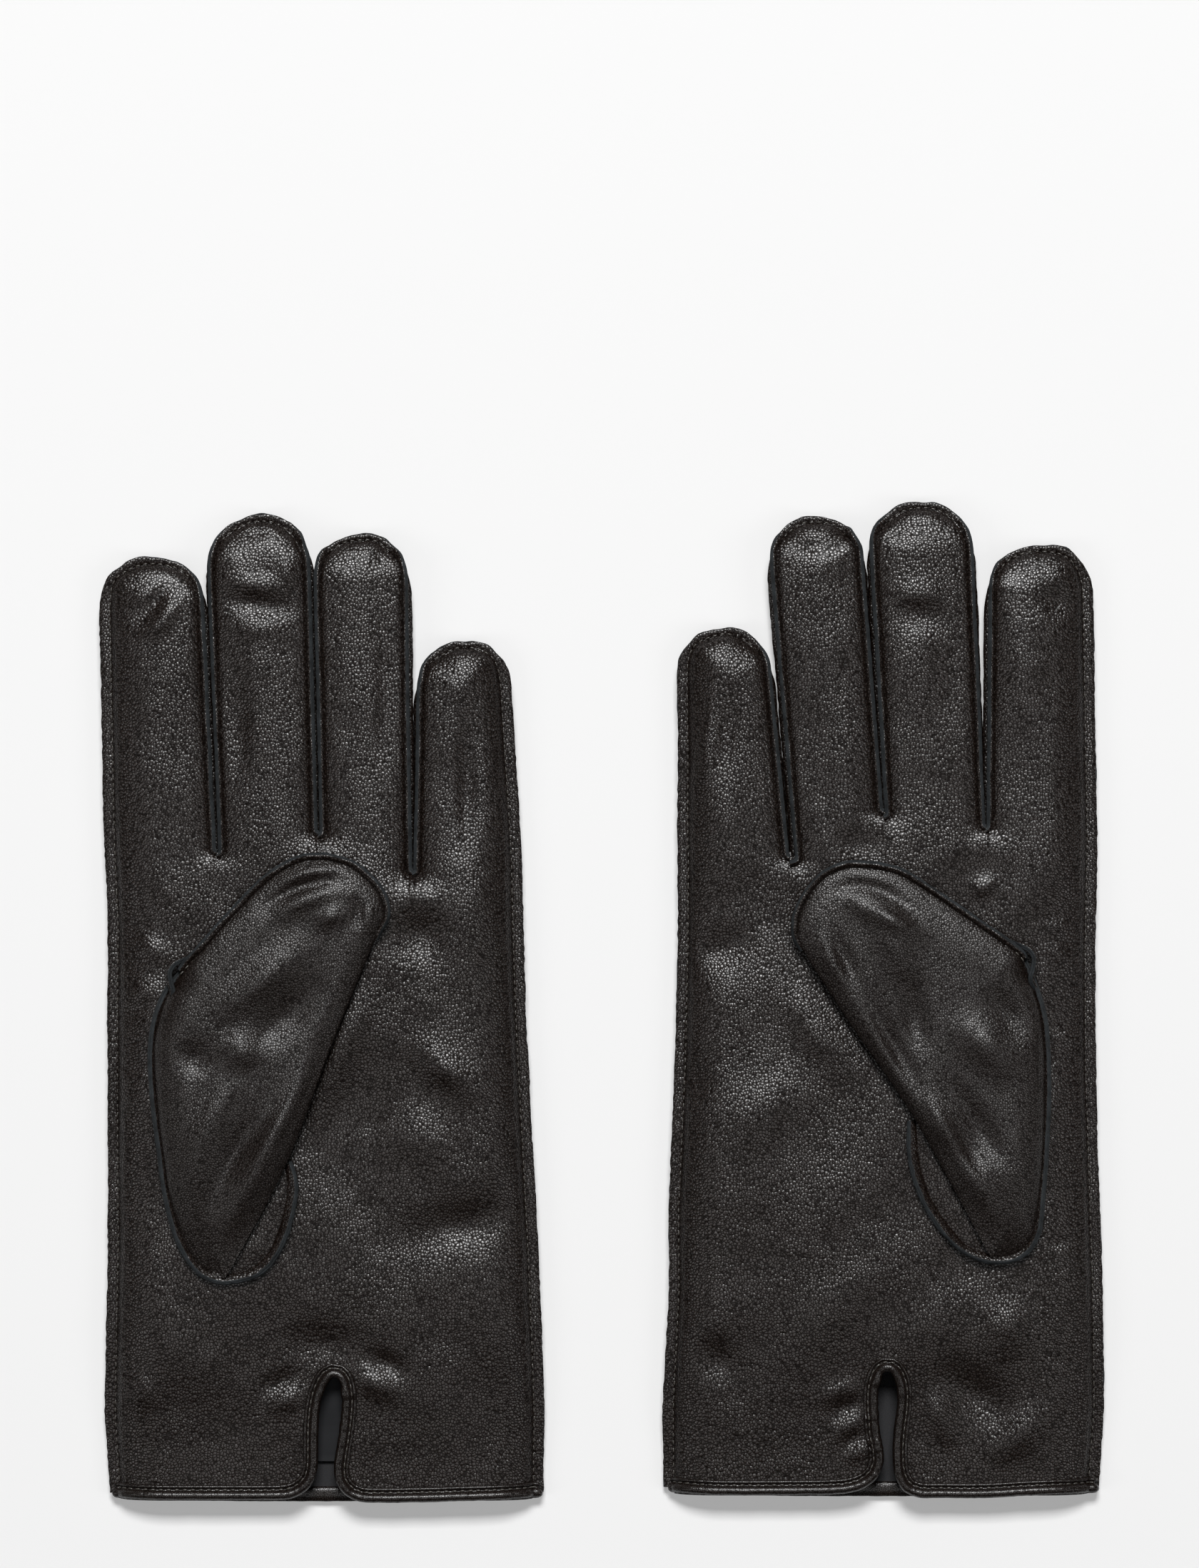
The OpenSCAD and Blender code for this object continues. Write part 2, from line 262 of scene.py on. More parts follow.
class Glove:
    """A glove's frame: local() and world() go between it and the row frame."""

    def __init__(self, side):
        self.side = side
        self.flip = 1 if side == "left" else -1
        low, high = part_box(f"{side}_cuff_binding")
        self.x0, self.y0 = (low[0] + high[0]) / 2 / MM, low[1] / MM
        self.cuff_half = (high[0] - low[0]) / 2 / MM
        self.fingers = [Finger(self, name) for name in FINGERS]
        self.slits = []
        for a, b in zip(self.fingers, self.fingers[1:]):
            x = (a.at(a.root_half, 0)[0] + b.at(-b.root_half, 0)[0]) / 2
            self.slits.append(np.array([x, min(a.root[1], b.root[1]) - CROTCH_DROP]))
        self.paths = [self.seam_path(i) for i in range(4)]

    def local(self, point):
        """Row-frame metres to glove millimetres."""
        return np.array([self.flip * (point[0] / MM - self.x0), point[1] / MM - self.y0, point[2] / MM])

    def world(self, points):
        """Glove millimetres to row-frame metres."""
        p = np.asarray(points, float)
        return np.stack([self.x0 + self.flip * p[..., 0], self.y0 + p[..., 1], p[..., 2]], -1) * MM

    def outer_edge(self, i, y):
        """x of the glove's outline beside finger i, at height y below its root."""
        finger, sign = self.fingers[i], (-1 if i == INDEX else 1)
        root = finger.at(sign * finger.root_half, 0)
        widths = [sign * self.cuff_half, sign * (self.cuff_half + CUFF_BOW), root[0]]
        x = np.interp(y, [0, 22, root[1]], widths)
        return x + self.wander(i, y)

    def wander(self, i, y):
        """How far the outline strays from straight on the outer side of finger i, at height y."""
        table = np.array(SIDE_WAVE[self.side])
        return np.interp(y, table[:, 0], table[:, 1 if i == INDEX else 2])

    def side_seam(self, i, side, kind):
        """Rows of the seam on one side of finger i, from its foot up to its shoulder."""
        finger = self.fingers[i]
        inset = SEAMS[kind]["inset"]
        outer = kind == "outer"
        mix = [1, 0, 0, 0] if outer else [0, 1, 0, 0]
        rows = []
        if outer:
            for y in np.arange(0, finger.root[1] - 1, 2.0):
                rows.append([self.outer_edge(i, y) - side * inset, y, *mix])
        else:
            # The seam turns round the crotch to meet the next finger's
            x_slit, y_slit = self.slits[i + (side - 1) // 2]
            v0 = (y_slit - finger.root[1]) / finger.along[1]
            foot = finger.at(side * (finger.half(v0) - inset), v0)
            for angle in np.radians([0, 18, 36, 54, 72]):
                share = math.sin(angle)
                rows.append([x_slit + (foot[0] - x_slit) * share,
                             foot[1] - CROTCH_BOW * math.cos(angle), 0, share, 0, 1 - share])
        start = rows[-1][1] + 0.6
        for v in np.arange(0, finger.shoulder, 1.5) - 12:
            point = finger.at(side * (finger.half(v) - inset), v)
            if outer:
                point[0] += self.wander(i, point[1])
            if point[1] > start and v < finger.shoulder - 0.5:
                rows.append([*point, *mix])
        return rows

    def tip_seam(self, i, kinds):
        """Rows of the seam round the tip of finger i, from -x to +x; kinds are those of its two sides."""
        finger = self.fingers[i]
        rows = []
        for angle in np.arange(180, -1, -7.5):
            c, s = math.cos(math.radians(angle)), math.sin(math.radians(angle))
            round_to = (abs(c) ** TIP_POWER + abs(s) ** TIP_POWER) ** (-1 / TIP_POWER)
            away = float(smooth(90 - abs(angle - 90), 8, 55))
            kind = kinds[0] if angle > 90 else kinds[1]
            inset = SEAMS[kind]["inset"] * (1 - away) + SEAMS["tip"]["inset"] * away
            point = finger.at((finger.tip_half - inset) * c * round_to,
                              finger.shoulder + (finger.tip_half - inset) * s * round_to)
            outer = 1 - away if kind == "outer" else 0
            point[0] += self.wander(i, point[1]) * outer
            uneven = TIP_UNEVEN * float(wave(angle, 24, 500 + 10 * i + (self.flip > 0)))
            point += (finger.across * c + finger.along * s) * uneven * min(1, 3 * s)
            rows.append([*point, outer, 1 - away - outer, away, 0])
        return rows

    def seam_path(self, i):
        """The seam line round finger i, from -x over the tip to +x.

        Columns are x, y, and the shares of each kind of seam: outer, gap, tip and crotch.
        """
        kinds = ["outer" if i == INDEX else "gap", "outer" if i == LITTLE else "gap"]
        left, right = (self.side_seam(i, side, kind) for side, kind in zip((-1, 1), kinds))
        return resample(np.array(left + self.tip_seam(i, kinds) + right[::-1]), step=PATH_STEP)

    def seam(self, mix, what):
        """A seam value for rows of shares of the four kinds."""
        return mix @ np.array([kind[what] for kind in SEAMS.values()])

    def nearest(self, i, x, y):
        """Distance to finger i's seam line, and the kinds of seam there."""
        away, which = nearest(self.paths[i][:, :2], x, y)
        return away, self.paths[i][which, 2:]

    def full(self, x, y):
        """Height of the palm side away from the seams."""
        own = self.flip > 0
        cuff = smooth(y, -5, 55)
        top = CUFF_TOP + (TOP - CUFF_TOP) * cuff
        top = top - TIP_DROP * smooth(y, 205, 250)
        # Slack leather over the hand lies in broad waves, with smaller dents in them
        lively = smooth(y, 5, 40) * (1 - 0.5 * smooth(y, 150, 170))
        top = top + 1.1 * patch(x - 0.5 * y, 0.7 * y, 34, 5 + own) * lively
        top = top + 0.65 * patch(x + 0.6 * y, 0.6 * y - 0.2 * x, 14, 15 + own) * lively
        top = top + 0.08 * patch(x, y, 5, 25)
        # Long soft pleats run up the fingers
        pleats = 0.75 * patch(3.2 * x, 0.9 * y, 27, 35 + own) * smooth(y, 150, 185)
        return top + pleats + strokes(FOLDS[self.side], x, y)

    def top(self, i, x, y):
        """Height of the palm-side leather of finger i and the palm below it."""
        away, mix = self.nearest(i, x, y)
        seam = self.seam_top(mix, y)
        t = np.clip(away / self.seam(mix, "reach"), 0, 1)
        dome = roll_off(t, 0.72)
        groove = GROOVE_DEPTH * np.exp(-(away / GROOVE_WIDTH) ** 2)
        return self.full(x, y) * (1 - dome) + seam * dome - groove

    def seam_top(self, mix, y):
        """Height of the palm-side leather along a seam: the outer seams sink towards the cuff."""
        low = 2.1 * (1 - smooth(y, 0, CUFF_FADE)) * mix[..., 0]
        return self.seam(mix, "top") - low

    def back(self, i, x, y):
        """Height of the back leather of finger i and of the glove below it."""
        away, mix = self.nearest(i, x, y)
        t = np.clip(away / 9, 0, 1)
        rise = (1 - t) ** 2.2
        low = 1.6 * (1 - smooth(y, 0, CUFF_FADE)) * mix[..., 0]
        flat = BACK_FLAT + 0.2 * np.abs(patch(x, y, 17, 44)) * smooth(away, 0, 9)
        return flat + (self.seam(mix, "back") - low - BACK_FLAT) * rise


BATCH = 4000        # points that are measured at once


def nearest(line, x, y):
    """Distance from points to a line of close points, and the number of the nearest one."""
    spots = np.stack([np.ravel(x), np.ravel(y)], 1)
    which, away = np.empty(len(spots), int), np.empty(len(spots))
    for k in range(0, len(spots), BATCH):
        gap = np.linalg.norm(spots[k:k + BATCH, None] - line[None], axis=2)
        which[k:k + BATCH], away[k:k + BATCH] = gap.argmin(1), gap.min(1)
    return away.reshape(np.shape(x)), which.reshape(np.shape(x))


def strokes(table, x, y):
    """Sum of soft ridges and valleys: each is (height, width, points along it)."""
    total = np.zeros(np.shape(x))
    for height, width, points in table:
        line = curve_through(points, 1.0)
        low, high = line.min(0) - 3 * width, line.max(0) + 3 * width
        near = (x > low[0]) & (x < high[0]) & (y > low[1]) & (y < high[1])
        if not near.any():
            continue
        spots = np.stack([x[near], y[near]], 1)
        gap = np.linalg.norm(spots[:, None] - line[None], axis=2)
        which = gap.argmin(1)
        ends = np.minimum(which, len(line) - 1 - which) / (len(line) - 1)
        fade = smooth(ends, -0.05, 0.5)
        total[near] += FOLD_DEPTH * height * fade * np.exp(-(gap.min(1) / width) ** 2)
    return total


# Soft folds of the palm side: height (a valley is below 0), width, and points along the fold
FOLDS = {
    "left": [
        (0.55, 4.0, [(12.6, 136.4), (3, 112), (-5.7, 88.3)]),
        (-0.7, 6, [(18, 150), (24, 143), (33, 141)]),
        (0.6, 4, [(21.7, 119.2), (28, 111), (34.3, 105.5), (36.6, 98.6)]),
        (0.4, 7, [(12, 98), (22.9, 91.8), (34, 88)]),
        (-0.65, 6, [(53.8, 79.2), (38, 71), (12, 64.3)]),
        (-0.45, 5, [(-13, 38), (0, 40), (12, 37)]),
        (0.3, 2.6, [(-4.6, 27.7), (-9, 26), (-14.9, 23.1)]),
        (-0.3, 2.4, [(-5, 33), (-12, 30), (-18, 27)]),
        (0.45, 3, [(5.7, 33.4), (12, 30), (19.4, 25.4)]),
        (-0.4, 2.5, [(8, 38), (15, 35), (22, 31)]),
        (0.4, 4, [(-49.2, 34.6), (-47, 28), (-44.6, 22)]),
        (0.22, 2.4, [(-41.2, 130.7), (-47, 128.5), (-52.7, 125)]),
        (-0.2, 2.2, [(-41, 126), (-47, 124), (-53, 120)]),
        (0.25, 2.6, [(-36.6, 135.3), (-43, 139), (-50.4, 142.1)]),
        (-0.16, 1.2, [(-53, 109.5), (-48.1, 108.9), (-44, 110)]),
        (-0.35, 1.9, [(-50.3, 220.3), (-44, 226), (-37.9, 234.1)]),
        (0.35, 2, [(-47, 216), (-41, 222), (-36, 229)]),
        (-0.4, 2.6, [(-30, 228), (-16, 226), (-4.5, 225)]),
        (0.25, 2.4, [(-29, 233), (-16, 231), (-6, 230.5)]),
        (0.2, 2.4, [(-28, 221), (-16, 220), (-6, 220)]),
        (-0.3, 2.4, [(-26, 243.5), (-17, 245), (-11, 243)]),
        (0.35, 2, [(-12, 238), (-9.7, 234.8), (-8, 230)]),
        (-0.45, 3, [(-22, 211), (-22.3, 195), (-22, 177)]),
        (-0.4, 3, [(15, 225), (15.5, 205), (14.5, 180)]),
        (-0.5, 2.5, [(35, 205), (35.5, 190), (36, 160)]),
        (-0.3, 2, [(44.7, 200), (45, 190), (45, 178)]),
    ],
    "right": [
        (0.55, 5, [(28.5, 134.5), (18, 118), (5, 103)]),
        (-0.6, 5, [(31.8, 142.2), (41, 138), (50.5, 132.3)]),
        (-0.5, 4, [(43.9, 108.1), (48, 105), (53, 102)]),
        (0.4, 7, [(42.8, 88.3), (31, 98), (18.6, 107)]),
        (0.3, 2.4, [(5.7, 28.9), (12, 26.5), (18.5, 23.5)]),
        (-0.25, 2.0, [(5, 25.5), (10, 22.5), (15, 19)]),
        (0.28, 2.2, [(5.0, 21.3), (9, 18), (13.2, 14.7)]),
        (-0.25, 1.8, [(4.4, 17.5), (8, 14), (11, 10.5)]),
        (0.25, 2.2, [(3.6, 14.5), (7, 11), (9.9, 8.1)]),
        (0.4, 3, [(-11, 29), (-14, 20), (-16.5, 11.4)]),
        (-0.6, 5, [(-13, 34), (-23, 26), (-33, 17)]),
        (0.45, 5, [(-29.7, 52), (-31, 43), (-30.8, 33)]),
        (0.5, 4, [(-24, 9), (-33, 14), (-41, 25)]),
        (-0.5, 4, [(46, 43), (43, 35), (39, 28)]),
        (0.14, 1.4, [(-42, 116.4), (-45, 115.8), (-49, 117)]),
        (-0.14, 1.2, [(-41, 64), (-44, 64.1), (-48, 64.8)]),
        (0.22, 2.4, [(-38, 142), (-43, 143), (-49, 145)]),
        (0.22, 2.4, [(-38, 139), (-44, 137), (-47, 131)]),
        (-0.25, 3.2, [(25.5, 238), (17, 239.5), (10.5, 239)]),
        (0.2, 3.0, [(25, 243), (17, 244), (11, 243)]),
        (0.15, 2.6, [(-2, 246), (-8, 247), (-13, 246)]),
        (-0.2, 2.6, [(-1, 243.5), (-8, 244.4), (-14, 243.5)]),
        (-0.35, 4, [(1, 221), (-10, 222), (-18, 221)]),
        (0.25, 3, [(1, 227), (-10, 227.5), (-18, 226)]),
        (-0.4, 3.5, [(-36, 225), (-42, 226), (-49, 222)]),
        (-0.5, 3, [(38, 210), (39.5, 195), (41.5, 175)]),
        (0.3, 2, [(44, 200), (45, 190), (45.5, 175)]),
        (-0.35, 5, [(15, 163), (4, 165), (-4, 163)]),
        (0.4, 2.5, [(-20, 152), (-25, 154), (-29, 157)]),
    ],
}


# ---------------------------------------------------------------- mesh helpers

def new_piece(glove, name, points, faces, finishes, slot, which=None, sharp=180):
    """A mesh object of glove-local points, with its finishes; which gives each face's finish."""
    mesh = bpy.data.meshes.new(name)
    faces = [f[::-1] for f in faces] if glove.flip < 0 else faces
    mesh.from_pydata(glove.world(points).reshape(-1, 3).tolist(), [], faces)
    for each in finishes:
        mesh.materials.append(finish(each))
    if which is not None:
        mesh.polygons.foreach_set("material_index", which)
    mesh.polygons.foreach_set("use_smooth", [True] * len(mesh.polygons))
    if sharp < 180:
        mesh.set_sharp_from_angle(angle=math.radians(sharp))
    piece = bpy.data.objects.new(name, mesh)
    bpy.context.scene.collection.objects.link(piece)
    piece["slot"] = slot
    return piece


def grid_faces(rows, columns, start=0, around=False):
    """Quads of a grid of points, counted row by row."""
    last = columns if around else columns - 1
    return [[start + j * columns + k, start + j * columns + (k + 1) % columns,
             start + (j + 1) * columns + (k + 1) % columns, start + (j + 1) * columns + k]
            for j in range(rows - 1) for k in range(last)]


def weld(piece, gap=0.02):
    """Merges points that share a place, and drops faces that closed up."""
    tool = bmesh.new()
    tool.from_mesh(piece.data)
    bmesh.ops.remove_doubles(tool, verts=tool.verts, dist=gap * MM)
    bmesh.ops.dissolve_degenerate(tool, edges=tool.edges, dist=gap * MM * 0.5)
    tool.to_mesh(piece.data)
    tool.free()


def thicken(piece, thickness):
    """Gives a skin its real thickness, inwards, with crisp cut edges."""
    tool = bmesh.new()
    tool.from_mesh(piece.data)
    for edge in tool.edges:
        edge.smooth = not edge.is_boundary
    tool.to_mesh(piece.data)
    tool.free()
    wall = piece.modifiers.new("Thickness", "SOLIDIFY")
    wall.thickness = thickness * MM
    wall.offset = -1
    wall.use_rim = True


def stands_for(nodes):
    """Hides these nodes, which the piece stands for."""
    if nodes:
        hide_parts(*nodes)


def sits_on(piece, body, *nodes):
    """The piece moves with one body."""
    stands_for(nodes)
    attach(piece, body)


def bends_at_root(piece, finger, *nodes):
    """Hides the nodes that the piece stands for, and bakes the piece's place into its mesh."""
    stands_for(nodes)
    start = finger.glove.world([*finger.at(0, -1.0), TOP])
    end = finger.glove.world([*finger.at(0, CREASE_RUN), TOP])
    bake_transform(piece)


def sweep(points, across, normal, section, closed=False):
    """Points and faces of a section carried along a line.

    section gives, for each step, a loop of (across, normal) offsets.
    """
    rings = (points[:, None] + section[..., 0, None] * across[:, None]
             + section[..., 1, None] * normal[:, None])
    rows, columns = rings.shape[:2]
    faces = grid_faces(rows, columns, around=True)
    if closed:
        last = (rows - 1) * columns
        faces += [[last + k, last + (k + 1) % columns, (k + 1) % columns, k] for k in range(columns)]
    else:
        faces += [list(range(columns))[::-1], [(rows - 1) * columns + k for k in range(columns)]]
    return rings.reshape(-1, 3), faces


def directions(path):
    """Unit tangents of a line."""
    step = np.gradient(path, axis=0)
    return step / np.maximum(np.linalg.norm(step, axis=1, keepdims=True), 1e-9)


# ---------------------------------------------------------------- materials

def fill(tree, node, inputs):
    """Links or sets a node's inputs, by name or number."""
    for key, value in inputs.items():
        socket = node.inputs[key]
        if isinstance(value, bpy.types.NodeSocket):
            tree.links.new(value, socket)
        else:
            socket.default_value = value


def add_node(tree, kind, inputs=None, **settings):
    """Adds a node, sets it up, and links or sets its inputs."""
    node = tree.nodes.new(kind)
    for key, value in settings.items():
        setattr(node, key, value)
    fill(tree, node, inputs or {})
    return node


def new_material(name):
    """A material's node tree and shader, with its output, and the place on the piece that patterns read."""
    material = bpy.data.materials.new(name)
    material.use_nodes = True
    tree = material.node_tree
    tree.nodes.clear()
    shader = add_node(tree, "ShaderNodeBsdfPrincipled")
    add_node(tree, "ShaderNodeOutputMaterial", {"Surface": shader.outputs["BSDF"]})
    place = add_node(tree, "ShaderNodeTexCoord").outputs["Object"]
    return material, tree, shader, place


_finishes = {}


def finish(name):
    """The named material, made when it is first asked for."""
    if name not in _finishes:
        _finishes[name] = MAKERS[name]()
    return _finishes[name]


def tanned_skin(name, depth, grain_size, rough, pale=1.9):
    """Chrome-tanned lambskin, drum dyed black: pebbles with narrow creases, and a soft satin finish.

    depth is the grain's height in millimetres, grain_size the distance from pebble to pebble.
    """
    material, tree, shader, place = new_material(name)
    grain = grain_size * MM
    # The rows of pebbles wander, so that no straight lines show
    warp = add_node(tree, "ShaderNodeTexNoise", {"Vector": place, "Scale": 1 / (6 * grain), "Detail": 2.0})
    bend = add_node(tree, "ShaderNodeVectorMath", {0: warp.outputs["Color"], 1: (0.5, 0.5, 0.5)},
                    operation="SUBTRACT")
    bend = add_node(tree, "ShaderNodeVectorMath", {0: bend.outputs[0], "Scale": 1.2 * grain},
                    operation="SCALE")
    moved = add_node(tree, "ShaderNodeVectorMath", {0: place, 1: bend.outputs[0]}).outputs[0]
    # A rounded pebble in each cell, and a narrow crease along its edge
    layout = {"Vector": moved, "Scale": 1.25 / grain, "Randomness": 0.9}
    cells = add_node(tree, "ShaderNodeTexVoronoi", layout, feature="SMOOTH_F1")
    cells.inputs["Smoothness"].default_value = 0.35
    edges = add_node(tree, "ShaderNodeTexVoronoi", layout, feature="DISTANCE_TO_EDGE")
    rise = add_node(tree, "ShaderNodeMapRange", {"Value": edges.outputs["Distance"], "From Max": 0.26},
                    interpolation_type="SMOOTHSTEP")
    # 0 at the bottom of a crease, 1 on a pebble
    crease = rise.outputs["Result"]
    fine = add_node(tree, "ShaderNodeTexNoise", {"Vector": place, "Scale": 2.6 / grain, "Detail": 3.0,
                                                 "Roughness": 0.6})
    # The grain is fuller in some places and nearly smooth where the leather is stretched
    broad = add_node(tree, "ShaderNodeTexNoise", {"Vector": place, "Scale": 1 / (22 * grain), "Detail": 2.0})
    full = add_node(tree, "ShaderNodeMapRange", {"Value": broad.outputs["Fac"], "From Min": 0.35,
                                                 "From Max": 0.7, "To Min": 0.6, "To Max": 1.0})
    square = add_node(tree, "ShaderNodeMath", {0: cells.outputs["Distance"], 1: 2.0}, operation="POWER")
    dome = add_node(tree, "ShaderNodeMath", {0: square.outputs[0], 1: -2.6, 2: 1.0}, operation="MULTIPLY_ADD")
    grit = add_node(tree, "ShaderNodeMath", {0: fine.outputs["Fac"], 1: 0.5, 2: dome.outputs[0]},
                    operation="MULTIPLY_ADD")
    height = add_node(tree, "ShaderNodeMath", {0: crease, 1: 0.3, 2: grit.outputs[0]},
                      operation="MULTIPLY_ADD")
    bump = add_node(tree, "ShaderNodeBump", {"Strength": full.outputs["Result"], "Distance": depth * MM,
                                             "Height": height.outputs[0]})
    # The creases are painted darker than the pebbles: painted shade at the bottom of each crease
    shade = add_node(tree, "ShaderNodeMix", {"Factor": crease, 6: tint("leather", 0.55),
                                             7: tint("leather", pale)}, data_type="RGBA")
    matt = add_node(tree, "ShaderNodeMapRange", {"Value": fine.outputs["Fac"], "From Min": 0.3,
                                                 "From Max": 0.75, "To Min": rough, "To Max": rough + 0.18})
    # Little light reaches the bottom of the creases
    shader.inputs["Specular IOR Level"].default_value = 0.5
    polish = add_node(tree, "ShaderNodeMapRange", {"Value": crease, "To Min": 0.12, "To Max": 0.7})
    fill(tree, shader, {"Base Color": shade.outputs[2], "Roughness": matt.outputs["Result"],
                        "Specular IOR Level": polish.outputs["Result"], "Normal": bump.outputs["Normal"]})
    return material


def grain_leather():
    """Palm, back and finger leather: its grain left full and pebbled."""
    return tanned_skin("lambskin_grain", 0.068, size("grain"), 0.25)


def smooth_leather():
    """Thumb leather: from a smoother part of the skin, so its grain is finer and flatter."""
    return tanned_skin("lambskin_smooth", 0.05, size("grain") * 0.8, 0.32, 1.7)


def bound_leather():
    """Binding strip: skived thin and pulled tight, so nearly smooth and a little shinier."""
    return tanned_skin("lambskin_binding", 0.018, size("grain") * 0.6, 0.27, 1.6)


def raw_edge():
    """Cut edge and flesh side of dyed lambskin: matte, fibrous and a little blue."""
    material, tree, shader, place = new_material("lambskin_raw_edge")
    fibre = add_node(tree, "ShaderNodeTexNoise", {"Vector": place, "Scale": 1 / (0.35 * MM), "Detail": 4.0,
                                                  "Roughness": 0.7})
    blotch = add_node(tree, "ShaderNodeTexNoise", {"Vector": place, "Scale": 1 / (3.0 * MM), "Detail": 3.0})
    both = add_node(tree, "ShaderNodeMath", {0: fibre.outputs["Fac"], 1: blotch.outputs["Fac"]},
                    operation="MULTIPLY")
    share = add_node(tree, "ShaderNodeMapRange", {"Value": both.outputs[0], "From Min": 0.12,
                                                  "From Max": 0.42})
    shade = add_node(tree, "ShaderNodeMix", {"Factor": share.outputs["Result"], 6: tint("raw_edge", 0.35),
                                             7: tint("raw_edge", 1.6)}, data_type="RGBA")
    bump = add_node(tree, "ShaderNodeBump", {"Strength": 0.8, "Distance": 0.15 * MM,
                                             "Height": fibre.outputs["Fac"]})
    fill(tree, shader, {"Base Color": shade.outputs[2], "Roughness": 0.85, "Specular IOR Level": 0.25,
                        "Normal": bump.outputs["Normal"]})
    return material


def brushed_knit():
    """Brushed polyester knit: dark, soft, with a short nap."""
    material, tree, shader, place = new_material("brushed_knit")
    nap = add_node(tree, "ShaderNodeTexNoise", {"Vector": place, "Scale": 1 / (0.5 * MM), "Detail": 5.0,
                                                "Roughness": 0.75})
    bump = add_node(tree, "ShaderNodeBump", {"Strength": 1.0, "Distance": 0.3 * MM,
                                             "Height": nap.outputs["Fac"]})
    shade = add_node(tree, "ShaderNodeMix", {"Factor": nap.outputs["Fac"], 6: tint("lining", 0.5),
                                             7: tint("lining", 1.5)}, data_type="RGBA")
    fill(tree, shader, {"Base Color": shade.outputs[2], "Roughness": 0.95, "Sheen Weight": 0.3,
                        "Normal": bump.outputs["Normal"]})
    return material


def waxed_thread():
    """Bonded polyester sewing thread: twisted, with a faint wax shine; its own near black is painted lighter,
    as painted highlight on the stitches.
    """
    material, tree, shader, place = new_material("waxed_thread")
    twist = add_node(tree, "ShaderNodeTexNoise", {"Vector": place, "Scale": 1 / (0.2 * MM), "Detail": 2.0})
    bump = add_node(tree, "ShaderNodeBump", {"Strength": 0.6, "Distance": 0.06 * MM,
                                             "Height": twist.outputs["Fac"]})
    # The thread's colour holds painted highlight: it is lighter than the thread's own near black
    fill(tree, shader, {"Base Color": tint("thread"), "Roughness": 0.32, "Normal": bump.outputs["Normal"]})
    return material


def satin_label():
    """Woven satin ribbon: black, smooth and a little shiny along its threads."""
    material, tree, shader, place = new_material("woven_satin")
    weave = add_node(tree, "ShaderNodeTexWave", {"Vector": place, "Scale": 1 / (6.0 * MM), "Distortion": 1.5,
                                                 "Detail Scale": 2.0}, bands_direction="Y")
    bump = add_node(tree, "ShaderNodeBump", {"Strength": 0.2, "Distance": 0.02 * MM,
                                             "Height": weave.outputs["Fac"]})
    fill(tree, shader, {"Base Color": tint("label"), "Roughness": 0.6, "Specular IOR Level": 0.25,
                        "Normal": bump.outputs["Normal"]})
    return material


def paper_sweep():
    """Matte white background paper, lit from below as well, so that it stays even."""
    material, tree, shader, _ = new_material("paper_sweep")
    fill(tree, shader, {"Base Color": tint("floor", 0.6), "Roughness": 0.9, "Specular IOR Level": 0.1,
                        "Emission Color": tint("floor"), "Emission Strength": 0.27})
    return material


MAKERS = {
    "leather": grain_leather, "thumb": smooth_leather, "binding": bound_leather, "raw_edge": raw_edge,
    "lining": brushed_knit, "thread": waxed_thread, "label": satin_label,
}

_gloves = []


def gloves():
    """Both gloves' frames."""
    if not _gloves:
        _gloves.extend(Glove(side) for side in SIDES)
    return _gloves


# ---------------------------------------------------------------- skins

TIP_ZONE = 9.0      # length of the fingertip that has closer rows of mesh


def row_heights(glove, i, part):
    """Heights of the mesh rows of column i in the palm part or the finger part."""
    step = size("mesh")
    if part == "palm":
        return np.linspace(0.2, JOIN_Y, int(JOIN_Y / step))
    tip = glove.paths[i][:, 1].max()
    low = np.arange(0, 400) * step + JOIN_Y
    low = low[low < tip - TIP_ZONE - step / 2]
    # Rows lie closer and closer towards the fingertip
    turn = np.sin(np.linspace(0, 1, 26) * math.pi / 2)
    return np.concatenate([low, tip - 0.01 - TIP_ZONE * (1 - turn)])


def bounds_at(glove, i, y):
    """The x of both sides of column i at heights y."""
    path = glove.paths[i]
    peak = path[:, 1].argmax()
    sides = []
    for sign, half in ((-1, path[:peak + 1]), (1, path[peak:][::-1])):
        x = np.interp(y, np.maximum.accumulate(half[:, 1]), half[:, 0])
        slit = i + (sign - 1) // 2
        if 0 <= slit < 3:
            x = np.where(y <= half[0, 1], glove.slits[slit][0], x)
        sides.append(x)
    return sides


def column(glove, i, part, height, columns=COLUMNS, inset=0.0, step=1):
    """Points of column i of the palm or back, as rows of (x, y, z)."""
    y = row_heights(glove, i, part)
    y = np.append(y[:-1:step], y[-1])
    left, right = bounds_at(glove, i, y)
    k = np.linspace(0, 1, columns + 1)
    share = 0.45 * k + 0.55 * (0.5 - 0.5 * np.cos(math.pi * k))
    left, right = left + inset, right - inset
    x = left[:, None] + (right - left)[:, None] * share
    y = np.repeat(y[:, None], columns + 1, 1)
    return np.stack([x, y, height(i, x, y)], -1)


def finger_skins(glove):
    """Palm-side and back leather of each finger, one piece each."""
    for i, finger in enumerate(glove.fingers):
        for name, height in (("palm_side", glove.top), ("back_side", glove.back)):
            grid = column(glove, i, "finger", height)
            faces = grid_faces(*grid.shape[:2])
            if name == "back_side":
                faces = [f[::-1] for f in faces]
            node = f"{glove.side}_{finger.name}_{name}"
            piece = new_piece(glove, node + "_leather", grid.reshape(-1, 3), faces, ["leather"], "leather")
            weld(piece)
            thicken(piece, SKIN)
            bends_at_root(piece, finger, node)


